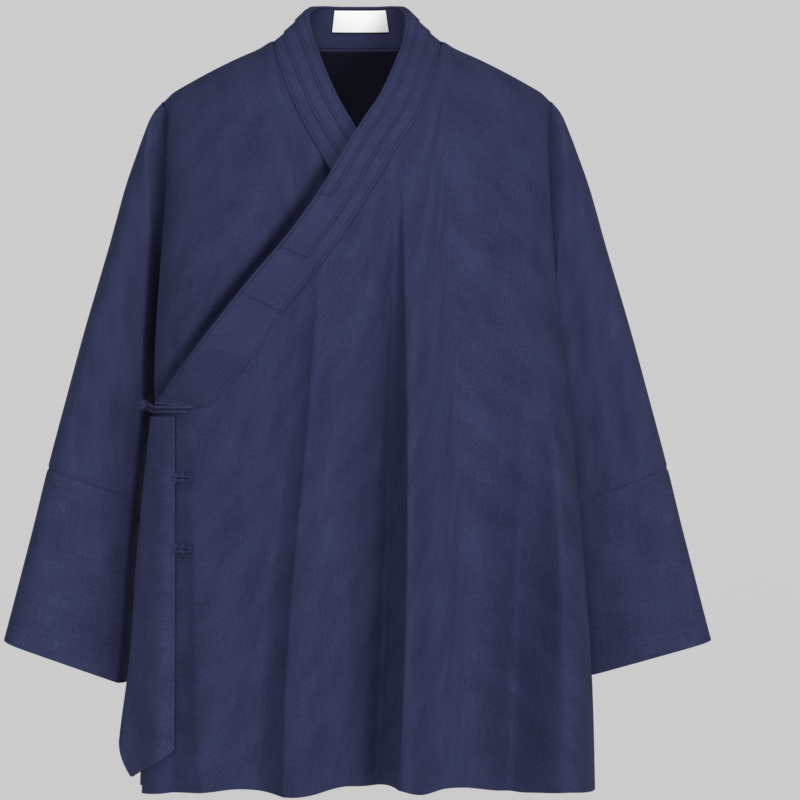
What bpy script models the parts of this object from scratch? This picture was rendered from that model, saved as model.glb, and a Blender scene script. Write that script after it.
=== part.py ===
"""Kung fu jacket with a crossed three-step collar, worn shape with no wearer, in metres.

The origin is the middle of the shoulder line at the base of the neck, where the wearer holds the jacket.
+Z is up, the front faces -Y, and +X is the wearer's left, whose front laps over the other one.
Every cloth piece is an open grid of points thickened inwards. Neighbours stand a seam gap apart.
"""

import math

import bpy
import numpy as np
from mathutils import Vector

for old in list(bpy.data.objects):
    bpy.data.objects.remove(old, do_unlink=True)

# Driving sizes
CLOTH = 0.0015
SEAM_GAP = 0.0003
COLLAR_SEAM_GAP = 0.0014
NECK_HALF_WIDTH = 0.088
NECK_SIDE_HEIGHT = 0.0025
SHOULDER_TIP = Vector((0.2045, 0.0, -0.054))
NECK_RISE = 0.045
NECK_RISE_FADE = 0.140
BACK_NECK_HEIGHT = 0.0025
FRONT_HEM = -0.757
HEM_DROP_AT_SIDE = 0.015
HEM_DROP_ON_RIDGES = 0.25
BACK_HEM = -0.781
HEM_HALF_WIDTH = 0.235
FRONT_ROUNDNESS = 2.7
BACK_ROUNDNESS = 2.5
UNDERLAP_DEPTH = 0.011
SLIT_TOP = -0.560
SLIT_OPENING = 0.007
FREE_EDGE_TOP = -0.1985
FREE_EDGE_HEM = -0.2185

# Levels of the sheet rows, as shares of the way from the shoulder to the hem.
# The first ones are also the places of the points down each armhole.
ARMHOLE_LEVELS = (0.0, 0.03, 0.08, 0.15, 0.25, 0.38, 0.52, 0.66, 0.80, 0.91, 1.0)
ARMHOLE_TOP = -0.0565
UNDERARM = -0.325
LEVELS_BELOW = (0.05, 0.12, 0.22, 0.34, 0.47, 0.60, 0.74, 0.88, 1.0)


def curve_through(places, values):
    """A smooth function through the rows of a table, with each slope taken from the rows beside it."""
    places = np.asarray(places, float)
    values = np.asarray(values, float)
    slopes = np.gradient(values, places, axis=0)

    def at(place):
        place = min(max(place, places[0]), places[-1])
        row = min(int(np.searchsorted(places, place, side="right")) - 1, len(places) - 2)
        step = places[row + 1] - places[row]
        t = (place - places[row]) / step
        start = (1 + 2 * t) * (1 - t) ** 2 * values[row] + t * (1 - t) ** 2 * step * slopes[row]
        end = t * t * (3 - 2 * t) * values[row + 1] + t * t * (t - 1) * step * slopes[row + 1]
        return start + end

    return at


def ease(amount):
    """0 to 1 with a soft start and end."""
    amount = min(max(amount, 0.0), 1.0)
    return amount * amount * (3 - 2 * amount)


def blend(start, end, share):
    return start + (end - start) * share


# Half widths of the body down its sides. The folded edges of the fronts make this outline.
BODY_WIDTHS = (
    # depth below the origin, wearer's left, wearer's right
    (0.054, 0.2045, 0.2045),
    (0.120, 0.2045, 0.205),
    (0.212, 0.206, 0.207),
    (0.320, 0.214, 0.210),
    (0.375, 0.220, 0.208),
    (0.450, 0.227, 0.211),
    (0.540, 0.234, 0.216),
    (0.645, 0.241, 0.221),
    (0.790, 0.245, 0.2255),
)
left_width = curve_through([row[0] for row in BODY_WIDTHS], [row[1] for row in BODY_WIDTHS])
right_width = curve_through([row[0] for row in BODY_WIDTHS], [row[2] for row in BODY_WIDTHS])

# How far the chest and the back stand out below the shoulder line.
BODY_DEPTHS = (
    # drop below the shoulder line, front, back
    (0.000, 0.000, 0.000),
    (0.012, 0.028, 0.024),
    (0.035, 0.057, 0.049),
    (0.065, 0.079, 0.069),
    (0.100, 0.099, 0.084),
    (0.150, 0.118, 0.097),
    (0.210, 0.129, 0.101),
    (0.300, 0.133, 0.096),
    (0.420, 0.131, 0.093),
    (0.600, 0.133, 0.097),
    (0.800, 0.139, 0.106),
)
chest_depth = curve_through([row[0] for row in BODY_DEPTHS], [row[1] for row in BODY_DEPTHS])
back_depth = curve_through([row[0] for row in BODY_DEPTHS], [row[2] for row in BODY_DEPTHS])

# How far in front of the shoulder line the folded side edge of a front lies.
EDGE_FORWARD = 0.036
EDGE_FORWARD_DROP = 0.075

# The largest folds of the fronts: soft troughs (-) and ridges (+) that fan out to the hem.
FRONT_FOLDS = (
    # x at top, height of top, x at hem, half width at hem, rise at hem
    (-0.120, -0.450, -0.168, 0.026, 0.005),
    (-0.060, -0.230, -0.114, 0.024, -0.012),
    (-0.006, -0.200, -0.053, 0.026, 0.014),
    (0.024, -0.190, 0.012, 0.022, -0.013),
    (0.060, -0.150, 0.052, 0.019, 0.018),
    (0.110, -0.300, 0.100, 0.022, -0.003),
    (0.148, -0.220, 0.146, 0.024, -0.012),
    (0.196, -0.260, 0.206, 0.022, 0.010),
)
BACK_FOLDS = (
    # x at top, height of top, x at hem, half width at hem, rise at hem
    (-0.150, -0.260, -0.172, 0.030, 0.012),
    (-0.085, -0.300, -0.100, 0.028, -0.013),
    (-0.035, -0.240, -0.032, 0.030, 0.015),
    (0.022, -0.280, 0.030, 0.026, -0.012),
    (0.075, -0.230, 0.092, 0.028, 0.014),
    (0.130, -0.320, 0.152, 0.028, -0.011),
)


def fold_rise(folds, x, z):
    """How far the folds push the cloth outwards at this place."""
    rise = 0.0
    for top_x, top_z, hem_x, width, height in folds:
        share = ease((top_z - z) / (top_z - FRONT_HEM))
        middle = top_x + (hem_x - top_x) * share
        rise += height * share**0.75 * math.exp(-(((x - middle) / (width * (0.45 + 0.55 * share))) ** 2))
    return rise


def shoulder_height(x):
    """Height of the shoulder line, which slopes from the base of the neck to the tip."""
    out = max(abs(x) - NECK_HALF_WIDTH, 0.0) / (SHOULDER_TIP.x - NECK_HALF_WIDTH)
    return blend(NECK_SIDE_HEIGHT, SHOULDER_TIP.z, out**1.25)


def half_width(side, z):
    return left_width(-z) if side > 0 else right_width(-z)


def edge_forward(z):
    return EDGE_FORWARD * ease((SHOULDER_TIP.z - z) / EDGE_FORWARD_DROP)


def front_y(x, z, under=0.0):
    """The fronts' outer surface. under=1 gives the front that lies beneath."""
    across = min(abs(x) / half_width(x, z), 1.0)
    drop = shoulder_height(x) - z
    round_off = (1 - across**FRONT_ROUNDNESS) ** (1 / FRONT_ROUNDNESS)
    edge = edge_forward(z)
    depth = edge + (chest_depth(drop) - edge) * round_off if drop > 0 else 0.0
    depth += fold_rise(FRONT_FOLDS, x, z) * min(1.0, 2.2 * round_off)
    return -depth + under * UNDERLAP_DEPTH * ease(drop / 0.11)


def front_point(x, z, lift, under=0.0):
    """A point this far out from the fronts' surface, along its own outward direction."""
    reach = 0.001
    slope_x = (front_y(x + reach, z, under) - front_y(x - reach, z, under)) / (2 * reach)
    slope_z = (front_y(x, z + reach, under) - front_y(x, z - reach, under)) / (2 * reach)
    out = Vector((slope_x, -1.0, slope_z)).normalized()
    return Vector((x, front_y(x, z, under), z)) + out * lift


def back_y(x, z, edge_x, edge_y):
    """The back's outer surface, which ends at the side seam or armhole, at edge_x and edge_y."""
    across = min(abs(x) / edge_x, 1.0)
    rise = NECK_RISE * (1 - min(abs(x) / NECK_HALF_WIDTH, 1.0) ** 2) * (1 - ease(-z / NECK_RISE_FADE))
    drop = shoulder_height(x) + rise - z
    round_off = (1 - across**BACK_ROUNDNESS) ** (1 / BACK_ROUNDNESS)
    depth = edge_y + (back_depth(max(drop, 0.0)) - edge_y) * round_off
    return depth + fold_rise(BACK_FOLDS, x, z) * round_off


def front_hem(x):
    ridge = fold_rise(FRONT_FOLDS, x, FRONT_HEM)
    return FRONT_HEM - HEM_DROP_AT_SIDE * (x / HEM_HALF_WIDTH) ** 2 - HEM_DROP_ON_RIDGES * ridge


# The armhole is a narrow slot behind the front's folded edge. The sleeve starts there.
ARMHOLE_ROWS = (
    # share of the way down, x, y of the middle, half opening
    (0.00, 0.203, 0.003, 0.002),
    (0.12, 0.195, 0.013, 0.012),
    (0.30, 0.189, 0.020, 0.019),
    (0.55, 0.186, 0.026, 0.020),
    (0.80, 0.186, 0.034, 0.014),
    (1.00, 0.187, 0.048, 0.003),
)
armhole_row = curve_through([row[0] for row in ARMHOLE_ROWS], [row[1:] for row in ARMHOLE_ROWS])


def armhole_point(side, share, face):
    """A point of the slot's front line (face -1) or back line (face 1)."""
    x, middle, opening = armhole_row(share)
    z = ARMHOLE_TOP + (UNDERARM - ARMHOLE_TOP) * share
    return Vector((side * x, middle + face * opening, z))


# The side seam below the underarm.
SIDE_SEAM = (
    # depth below the origin, y
    (0.325, 0.048),
    (0.345, 0.046),
    (0.370, 0.041),
    (0.420, 0.033),
    (0.520, 0.026),
    (0.790, 0.024),
)
side_seam_y = curve_through([row[0] for row in SIDE_SEAM], [row[1] for row in SIDE_SEAM])
SEAM_INSET = 0.003
UNDERARM_X = ARMHOLE_ROWS[-1][1]


def side_point(side, z, face):
    """Where a front (face -1) or the back (face 1) ends below the underarm. The slit opens near the hem."""
    x = blend(UNDERARM_X, half_width(side, z) - SEAM_INSET, ease((UNDERARM - z) / 0.11))
    slit = SLIT_OPENING * ease((SLIT_TOP - z) / 0.2) * (1 if side > 0 else 0.4)
    gap = SEAM_GAP / 2 + slit / 2
    return Vector((side * x, side_seam_y(-z) + face * gap, z))


def edge_heights(hem):
    """Heights of the sheet rows at the side, which match the armhole's points."""
    heights = [ARMHOLE_TOP + (UNDERARM - ARMHOLE_TOP) * share for share in ARMHOLE_LEVELS]
    heights[0] = SHOULDER_TIP.z
    return heights + [UNDERARM + (hem - UNDERARM) * share for share in LEVELS_BELOW]


def edge_point(side, level, heights, face):
    """The end of row `level` at the armhole or the side seam, pulled back by the seam gap."""
    if level < len(ARMHOLE_LEVELS):
        point = armhole_point(side, ARMHOLE_LEVELS[level], face)
        point.y += face * SEAM_GAP
        return point
    return side_point(side, heights[level], face)


# The collar band: its free edge and its seam, from the outer front's end up, round the neck and down.
OUTER_LAPEL = (
    # free edge x and z, seam x and z
    (-0.2050, -0.3750, -0.1440, -0.3750),
    (-0.1560, -0.3120, -0.1170, -0.3460),
    (-0.1060, -0.2510, -0.0740, -0.2830),
    (-0.0690, -0.2090, -0.0340, -0.2350),
    (-0.0355, -0.1630, 0.0030, -0.1850),
    (0.0026, -0.0950, 0.0440, -0.1160),
    (0.0246, -0.0590, 0.0660, -0.0790),
    (0.0440, -0.0110, 0.0820, -0.0290),
)
NECK = (
    # free edge x, y and z, seam x
    (0.0500, 0.0040, 0.0310, 0.0880),
    (0.0470, 0.0180, 0.0430, 0.0760),
    (0.0385, 0.0340, 0.0490, 0.0500),
    (0.0180, 0.0440, 0.0500, 0.0220),
)
INNER_LAPEL = (
    # free edge x and z, seam x and z
    (-0.0390, -0.0110, -0.0800, -0.0290),
    (-0.0205, -0.0550, -0.0620, -0.0740),
    (0.0016, -0.0950, -0.0400, -0.1150),
    (0.0330, -0.1470, -0.0050, -0.1700),
    (0.0640, -0.1930, 0.0300, -0.2220),
    (0.0920, -0.2300, 0.0640, -0.2640),
)
LAPEL_STEPS = 22
INNER_STEPS = 15
NECK_STEPS = 14


def back_neck_point(x):
    return Vector((x, back_y(x, BACK_NECK_HEIGHT, SHOULDER_TIP.x, 0.0), BACK_NECK_HEIGHT))


def collar_rows():
    """Free and seam points of the band's driving rows, as one list that runs round the neck."""
    rows = []
    for free_x, free_z, seam_x, seam_z in OUTER_LAPEL:
        free = Vector((free_x, front_y(free_x, free_z), free_z))
        rows.append((free, Vector((seam_x, front_y(seam_x, seam_z), seam_z))))
    for side, ordered in ((1, NECK), (-1, NECK[::-1])):
        for free_x, free_y, free_z, seam_x in ordered:
            at_shoulder = seam_x == NECK_HALF_WIDTH
            seam = Vector((side * seam_x, 0, NECK_SIDE_HEIGHT)) if at_shoulder else back_neck_point(side * seam_x)
            rows.append((Vector((side * free_x, free_y, free_z)), seam))
    for free_x, free_z, seam_x, seam_z in INNER_LAPEL:
        free = Vector((free_x, front_y(free_x, free_z, 1), free_z))
        rows.append((free, Vector((seam_x, front_y(seam_x, seam_z, 1), seam_z))))
    return rows


def collar_stations():
    """The band's cross lines. The panels' necklines use the seam ends of the same lines."""
    rows = collar_rows()
    right_neck = len(OUTER_LAPEL)
    left_neck = right_neck + 2 * len(NECK) - 1
    last = len(rows) - 1
    free = curve_through(range(len(rows)), [row[0] for row in rows])
    seam = curve_through(range(len(rows)), [row[1] for row in rows])
    spans = ((0, right_neck, LAPEL_STEPS), (right_neck, left_neck, NECK_STEPS), (left_neck, last, INNER_STEPS))
    places = [start + (end - start) * k / steps for start, end, steps in spans for k in range(steps)]
    places.append(last)
    return [(Vector(free(place)), Vector(seam(place))) for place in places]


STATIONS = collar_stations()
RIGHT_NECK = LAPEL_STEPS
LEFT_NECK = LAPEL_STEPS + NECK_STEPS


def material(name, colour, roughness):
    made = bpy.data.materials.new(name)
    made.use_nodes = True
    shader = made.node_tree.nodes["Principled BSDF"]
    shader.inputs["Base Color"].default_value = (*colour, 1.0)
    shader.inputs["Roughness"].default_value = roughness
    made.diffuse_color = (*colour, 1.0)
    return made


JACKET = bpy.data.collections.new("kung_fu_jacket")
bpy.context.scene.collection.children.link(JACKET)
NAVY = (0.040, 0.050, 0.105)


def sheet(name, grid, inside, thickness=CLOTH, colour=NAVY, tube=False):
    """A cloth piece through a grid of points. It is thickened towards the point `inside`."""
    rows, columns = len(grid), len(grid[0])
    points = [point for row in grid for point in row]
    spans = columns if tube else columns - 1
    faces = []
    for r in range(rows - 1):
        for c in range(spans):
            after = (c + 1) % columns
            start, below = r * columns, (r + 1) * columns
            faces.append((start + c, start + after, below + after, below + c))
    mesh = bpy.data.meshes.new(name)
    mesh.from_pydata(points, [], faces)
    outward = sum(face.normal.dot(face.center - Vector(inside)) * face.area for face in mesh.polygons)
    if outward < 0:
        mesh.flip_normals()
    mesh.shade_smooth()
    piece = bpy.data.objects.new(name, mesh)
    JACKET.objects.link(piece)
    mesh.materials.append(material(name, colour, 0.85))
    wall = piece.modifiers.new("wall", "SOLIDIFY")
    wall.thickness = thickness
    wall.offset = -1
    wall.use_even_offset = True
    return piece


def panel_columns(tops, hems, levels, surface):
    """Sheet columns from each top point down to its hem point, straight in shares of the half width."""
    columns = []
    for top, hem in zip(tops, hems):
        top_share = top[0] / half_width(top[0], top[1])
        hem_share = hem[0] / half_width(hem[0], hem[1])
        column = []
        for level in levels:
            z = blend(top[1], hem[1], level)
            share = blend(top_share, hem_share, level)
            x = share * half_width(share, z)
            column.append(Vector((x, surface(x, z), z)))
        columns.append(column)
    return columns


def front_return(side, heights, under):
    """Columns that turn back from a front's folded edge to the armhole and the side seam."""
    inner, middle = [], []
    for level, z in enumerate(heights):
        folded = Vector((side * half_width(side, z), front_y(side * half_width(side, z), z, under), z))
        end = edge_point(side, level, heights, -1)
        middle.append(blend(folded, end, 0.5) + Vector((side * 0.002, 0, 0)))
        inner.append(end)
    return middle, inner


def row_levels(heights):
    return [(z - heights[0]) / (heights[-1] - heights[0]) for z in heights]


def spread(start, end, steps, crowd_start=0.0, crowd_end=0.0):
    """Places from start to end, closer together at a crowded end."""
    places = []
    for k in range(steps + 1):
        t = k / steps
        t = blend(t, 1 - (1 - t) ** 2, crowd_end)
        t = blend(t, t * t, crowd_start)
        places.append(blend(start, end, t))
    return places


def shoulder_tops(side, steps):
    """Points of the shoulder line from the neck out to the tip."""
    reach = SHOULDER_TIP.x
    places = spread(NECK_HALF_WIDTH, reach, steps, crowd_end=0.75)[1:]
    return [(side * x, shoulder_height(x)) for x in places]


def outer_front():
    corner = (FREE_EDGE_TOP, OUTER_LAPEL[0][1] - COLLAR_SEAM_GAP)
    tops = [corner, (-0.1850, corner[1]), (-0.1650, corner[1])]
    tops += [(seam.x, seam.z - COLLAR_SEAM_GAP) for _, seam in STATIONS[: RIGHT_NECK + 1]]
    tops += shoulder_tops(1, 9)
    hem_x = spread(FREE_EDGE_HEM, left_width(0.777), len(tops) - 1, crowd_start=0.25, crowd_end=0.35)
    hems = [(x, front_hem(x)) for x in hem_x]
    heights = edge_heights(hems[-1][1])
    columns = panel_columns(tops, hems, row_levels(heights), front_y)
    columns += front_return(1, heights, 0)
    sheet("outer_front", columns, (0.0, 0.02, -0.40))


def inner_front():
    shoulder = shoulder_tops(-1, 9)[::-1]
    seam = [(seam.x, seam.z - COLLAR_SEAM_GAP) for _, seam in STATIONS[LEFT_NECK:]]
    tops = shoulder + seam + [(0.078, -0.2660)]
    hem_x = spread(-right_width(0.777), 0.092, len(tops) - 1, crowd_start=0.35)
    hems = [(x, front_hem(x) + 0.004) for x in hem_x]
    heights = edge_heights(hems[0][1])
    columns = panel_columns(tops, hems, row_levels(heights), lambda x, z: front_y(x, z, 1))
    middle, inner = front_return(-1, heights, 1)
    sheet("inner_front", [inner, middle] + columns, (0.0, 0.02, -0.40))


def back():
    left = shoulder_tops(1, 9)
    right = shoulder_tops(-1, 9)[::-1]
    neck = [(seam.x, seam.z - COLLAR_SEAM_GAP) for _, seam in STATIONS[RIGHT_NECK : LEFT_NECK + 1]][::-1]
    tops = right + neck + left
    heights = edge_heights(BACK_HEM)
    levels = row_levels(heights)
    half = (len(tops) - 1) / 2
    columns = []
    for place, (top_x, top_z) in enumerate(tops):
        k = (place - half) / half
        side = 1 if k >= 0 else -1
        hem_share = side * blend(abs(k), 1 - (1 - abs(k)) ** 2, 0.45)
        top_share = top_x / SHOULDER_TIP.x
        column = []
        for level, along in enumerate(levels):
            z = blend(top_z, BACK_HEM, along)
            end = edge_point(side, level, heights, 1)
            share = blend(top_share, hem_share, along)
            x = share * abs(end.x)
            column.append(Vector((x, back_y(x, z, abs(end.x), end.y) + SEAM_GAP, z)))
        columns.append(column)
    for level in range(len(levels)):
        columns[0][level] = edge_point(-1, level, heights, 1)
        columns[-1][level] = edge_point(1, level, heights, 1)
    sheet("back", columns, (0.0, -0.02, -0.40))


outer_front()
inner_front()
back()


# Sleeves: a row for each ring, from the armhole to the cuff. The outer edge hangs beside the body.
SLEEVE_RINGS = (
    # outer edge x, y, z, inner edge x, y, z, half thickness
    (0.2105, 0.006, -0.0630, 0.189, 0.055, -0.331, 0.018),
    (0.2175, 0.010, -0.0745, 0.191, 0.059, -0.339, 0.020),
    (0.2310, 0.014, -0.1070, 0.195, 0.066, -0.350, 0.021),
    (0.2460, 0.018, -0.1480, 0.201, 0.072, -0.366, 0.022),
    (0.2640, 0.022, -0.2115, 0.208, 0.080, -0.388, 0.022),
    (0.2890, 0.026, -0.2960, 0.215, 0.086, -0.416, 0.020),
    (0.3120, 0.028, -0.3800, 0.219, 0.089, -0.450, 0.018),
    (0.3288, 0.029, -0.4425, 0.222, 0.090, -0.486, 0.017),
    (0.3435, 0.028, -0.5030, 0.228, 0.091, -0.548, 0.017),
    (0.3590, 0.026, -0.5640, 0.234, 0.091, -0.611, 0.016),
    (0.3745, 0.023, -0.6245, 0.240, 0.090, -0.674, 0.015),
)
ELBOW_RING = 8


def sleeve_ring(side, row, behind):
    """One ring of points round the sleeve. `behind` is the row before, which gives the sleeve's direction."""
    outer, inner, half_thick = Vector(row[0:3]), Vector(row[3:6]), row[6]
    along = (outer + inner) / 2 - (Vector(behind[0:3]) + Vector(behind[3:6])) / 2
    out = (inner - outer).cross(along).normalized()
    if out.y > 0:
        out = -out
    ring = []
    for face in (1, -1):
        shares = ARMHOLE_LEVELS if face > 0 else ARMHOLE_LEVELS[::-1]
        for share in shares:
            fullness = max(1 - abs(2 * share - 1) ** 2.6, 0.03) ** 0.5
            point = outer.lerp(inner, share) + out * face * half_thick * fullness
            ring.append(Vector((side * point.x, point.y, point.z)))
    return ring


def armhole_ring(side):
    """The sleeve's first ring, which stands a seam gap outside the armhole slot."""
    ring = []
    for face in (-1, 1):
        shares = ARMHOLE_LEVELS if face < 0 else ARMHOLE_LEVELS[::-1]
        for share in shares:
            point = armhole_point(side, share, face)
            point.x += side * 2 * SEAM_GAP
            ring.append(point)
    return ring


def sleeve(side, word):
    first = (*armhole_point(1, 0, 0), *armhole_point(1, 1, 0), 0.02)
    rows = (first,) + SLEEVE_RINGS
    rings = [armhole_ring(side)]
    rings += [sleeve_ring(side, rows[k], rows[k - 1]) for k in range(1, len(rows))]
    elbow = rings[ELBOW_RING]
    next_ring = rings[ELBOW_RING + 1]
    gap = [a.lerp(b, SEAM_GAP / (b - a).length) for a, b in zip(elbow, next_ring)]
    upper_inside = (side * 0.24, 0.04, -0.28)
    lower_inside = (side * 0.29, 0.06, -0.56)
    sheet("sleeve_upper_" + word, rings[: ELBOW_RING + 1], upper_inside, tube=True)
    sheet("sleeve_lower_" + word, [gap] + rings[ELBOW_RING + 1 :], lower_inside, tube=True)


sleeve(1, "left")
sleeve(-1, "right")

# The collar's layers, from the base band out. Each is narrower than the one beneath it.
BAND_WIDTH = 0.045
BASE_LIFT = 0.0012
BASE_THICKNESS = 0.0028
TIER_THICKNESS = 0.0010
BAND_SHARES = (0.0, 1 / 6, 1 / 3, 2 / 3, 1.0)
CHEST_STATIONS = 4
COLLAR_TIERS = (
    # name, shares of the band's width that it covers, its end on the outer front, last station, lift
    ("collar_tier_wide", (0.012, 1 / 6, 1 / 3, 2 / 3, 0.965), 4.5, 47, 0.0027),
    ("collar_tier_middle", (0.016, 1 / 6, 1 / 3, 2 / 3), 7.8, 46, 0.0042),
    ("collar_tier_narrow", (0.020, 1 / 6, 1 / 3), 10.35, 45, 0.0057),
)


def station_normals():
    """The outward direction at each of the band's cross lines."""
    normals = []
    for k in range(len(STATIONS)):
        before = STATIONS[max(k - 1, 0)]
        after = STATIONS[min(k + 1, len(STATIONS) - 1)]
        along = (after[0] + after[1]) - (before[0] + before[1])
        across = STATIONS[k][1] - STATIONS[k][0]
        normals.append(across.cross(along).normalized())
    return normals


NORMALS = station_normals()
OUTWARD = 1 if NORMALS[0].y < 0 else -1


def band_point(station, share, lift):
    """A point of a collar layer: on the front it follows the chest, and round the neck it stands up straight."""
    free, seam = STATIONS[station]
    point = free.lerp(seam, share)
    from_neck = max(RIGHT_NECK - station, station - LEFT_NECK, 0)
    chest = front_y(point.x, point.z, 1 if station > LEFT_NECK else 0)
    point.y = blend(point.y, chest, ease(from_neck / CHEST_STATIONS))
    return point + NORMALS[station] * OUTWARD * lift


def band_between(place, share, lift):
    """The same between two cross lines."""
    station = int(place)
    return band_point(station, share, lift).lerp(band_point(station + 1, share, lift), place - station)


def collar():
    seam_share = 1 - 2 * SEAM_GAP / BAND_WIDTH
    shares = BAND_SHARES[:-1] + (seam_share,)
    grid = [[band_point(k, share, BASE_LIFT) for share in shares] for k in range(len(STATIONS))]
    sheet("collar_band", grid, (0.0, 0.0, -0.10), BASE_THICKNESS)
    for name, shares, end, last, lift in COLLAR_TIERS:
        places = [end, *range(math.ceil(end + 0.3), last + 1)]
        grid = [[band_between(place, share, lift) for share in shares] for place in places]
        sheet(name, grid, (0.0, 0.0, -0.10), TIER_THICKNESS)


collar()

# The side flap hangs from the frog down the wearer's right side. It is folded round the side, and it covers
# the outer front's free edge.
FLAP_TOP = -0.3865
FLAP_EDGE_X = -0.1848
FLAP_LIFT = 0.0038
FLAP_PAST_EDGE = 0.003
FLAP_END = (0.0022, 0.010)
FLAP_FOLD = (
    # depth below the origin, x and y of the folded edge
    (0.386, -0.2120, -0.050),
    (0.447, -0.2185, -0.050),
    (0.529, -0.2262, -0.050),
    (0.642, -0.2345, -0.049),
    (0.721, -0.2447, -0.047),
    (0.750, -0.2470, -0.047),
)
flap_fold = curve_through([row[0] for row in FLAP_FOLD], [row[1:] for row in FLAP_FOLD])
# The flap's lower edge comes to a point.
FLAP_BOTTOM = (
    # place across: 0 free edge, 1 folded edge, 2 back end; depth below the origin
    (0.00, 0.721),
    (0.47, 0.7495),
    (1.00, 0.721),
    (2.00, 0.712),
)
FLAP_PLACES = (0.0, 0.22, 0.36, 0.47, 0.60, 0.75, 0.90, 1.0, 1.15, 1.5, 2.0)
FLAP_LEVELS = 13


def free_edge_x(z):
    return blend(FREE_EDGE_TOP, FREE_EDGE_HEM, (z - FLAP_TOP) / (front_hem(FREE_EDGE_HEM) - FLAP_TOP))


def flap_point(place, z):
    """A point of the flap's section: over the outer front, round the fold, then back along the side."""
    fold_x, fold_y = flap_fold(-z)
    edge_x = free_edge_x(z) - FLAP_PAST_EDGE
    on_front = [
        front_point(x, z, FLAP_LIFT)
        for x in (FLAP_EDGE_X, (FLAP_EDGE_X + edge_x) / 2, edge_x)
    ]
    side_x = -half_width(-1, z)
    end = Vector((side_x - FLAP_END[0], FLAP_END[1], z))
    fold = Vector((fold_x, fold_y, z))
    behind = Vector((fold_x * 0.6 + end.x * 0.4, fold_y + 0.026, z))
    section = curve_through((0.0, 0.25, 0.5, 1.0, 1.45, 2.0), on_front + [fold, behind, end])
    return Vector(section(place))


def side_flap():
    depths = np.interp(FLAP_PLACES, [row[0] for row in FLAP_BOTTOM], [row[1] for row in FLAP_BOTTOM])
    grid = []
    for place, depth in zip(FLAP_PLACES, depths):
        heights = spread(FLAP_TOP, -depth, FLAP_LEVELS)
        grid.append([flap_point(place, z) for z in heights])
    sheet("side_flap", grid, (-0.19, -0.02, -0.55))


side_flap()

# The woven label inside the back of the neck.
LABEL_PLACES = (27.0, 28.0, 29.0, 30.0, 30.55)
LABEL_SHARES = (0.08, 0.557)
LABEL_THICKNESS = 0.0008


def neck_label():
    lift = BASE_LIFT - BASE_THICKNESS - SEAM_GAP
    grid = [[band_between(place, share, lift) for share in LABEL_SHARES] for place in LABEL_PLACES]
    sheet("neck_label", grid, (0.0, 0.0, 0.0), LABEL_THICKNESS, colour=(0.90, 0.92, 0.90))


neck_label()

# Frogs: a ball button and a hairpin loop of cloth cord at the lapel's end, and two tails below it.
CORD_RADIUS = 0.0019
CORD_SPACING = 0.0044
CORD_LIFT = 0.0026
FROG_HEIGHT = -0.3797
FROG_INNER_X = -0.1670
BUTTON = Vector((-0.2215, -0.0625, FROG_HEIGHT))
BUTTON_RADIUS = 0.0052
TAIL_HEIGHTS = {"frog_tail_upper": -0.4490, "frog_tail_lower": -0.5207}
TAIL_ENDS = (-0.1663, -0.1842)


def cord(name, points, radius, samples):
    """A round cloth cord along a smooth curve through the points."""
    course = curve_through(range(len(points)), points)
    curve = bpy.data.curves.new(name, "CURVE")
    curve.dimensions = "3D"
    curve.bevel_depth = radius
    curve.bevel_resolution = 1
    curve.use_fill_caps = True
    line = curve.splines.new("POLY")
    line.points.add(samples)
    for k, point in enumerate(line.points):
        point.co = (*course((len(points) - 1) * k / samples), 1.0)
    curve.materials.append(material(name, NAVY, 0.8))
    JACKET.objects.link(bpy.data.objects.new(name, curve))


def frog():
    def leg(x, side):
        z = FROG_HEIGHT + side * CORD_SPACING / 2
        return front_point(x, z, CORD_LIFT)

    over_edge = [Vector((-0.2085, -0.0700, 0.0)), Vector((-0.2150, -0.0590, 0.0))]
    loop_end = [Vector((-0.2185, -0.0530, 0.0038)), Vector((-0.2235, -0.0500, 0.0))]
    route = [leg(x, 1) for x in (FROG_INNER_X, -0.180, -0.192, -0.200)]
    route += [point + Vector((0, 0, FROG_HEIGHT + CORD_SPACING / 2)) for point in over_edge]
    route += [loop_end[0] + Vector((0, 0, FROG_HEIGHT)), loop_end[1] + Vector((0, 0, FROG_HEIGHT))]
    route += [Vector((p.x, p.y, 2 * FROG_HEIGHT - p.z)) for p in route[-2::-1]]
    cord("frog_loop", route, CORD_RADIUS, 44)
    bpy.ops.mesh.primitive_uv_sphere_add(segments=12, ring_count=8, radius=BUTTON_RADIUS, location=BUTTON)
    button = bpy.context.object
    button.name = "frog_button"
    button.data.materials.append(material("frog_button", NAVY, 0.8))
    button.data.shade_smooth()
    for owner in button.users_collection:
        owner.objects.unlink(button)
    JACKET.objects.link(button)


def frog_tail(name, z):
    """Two cords side by side on the outer front. They come from beneath the flap."""
    start_x, end_x = TAIL_ENDS
    turn = front_point(start_x + CORD_SPACING / 2, z, CORD_LIFT)
    ends = []
    for side in (1, -1):
        level = z + side * CORD_SPACING / 2
        ends.append([front_point(x, level, CORD_LIFT) for x in (end_x, (start_x + end_x) / 2, start_x)])
    cord(name, ends[0] + [turn] + ends[1][::-1], CORD_RADIUS, 16)


frog()
for tail_name, height in TAIL_HEIGHTS.items():
    frog_tail(tail_name, height)
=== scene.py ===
"""Dressed model of the kung fu jacket: navy woven cloth, a three-step crossed collar, cloth frogs and a
side flap."""

import math

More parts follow.
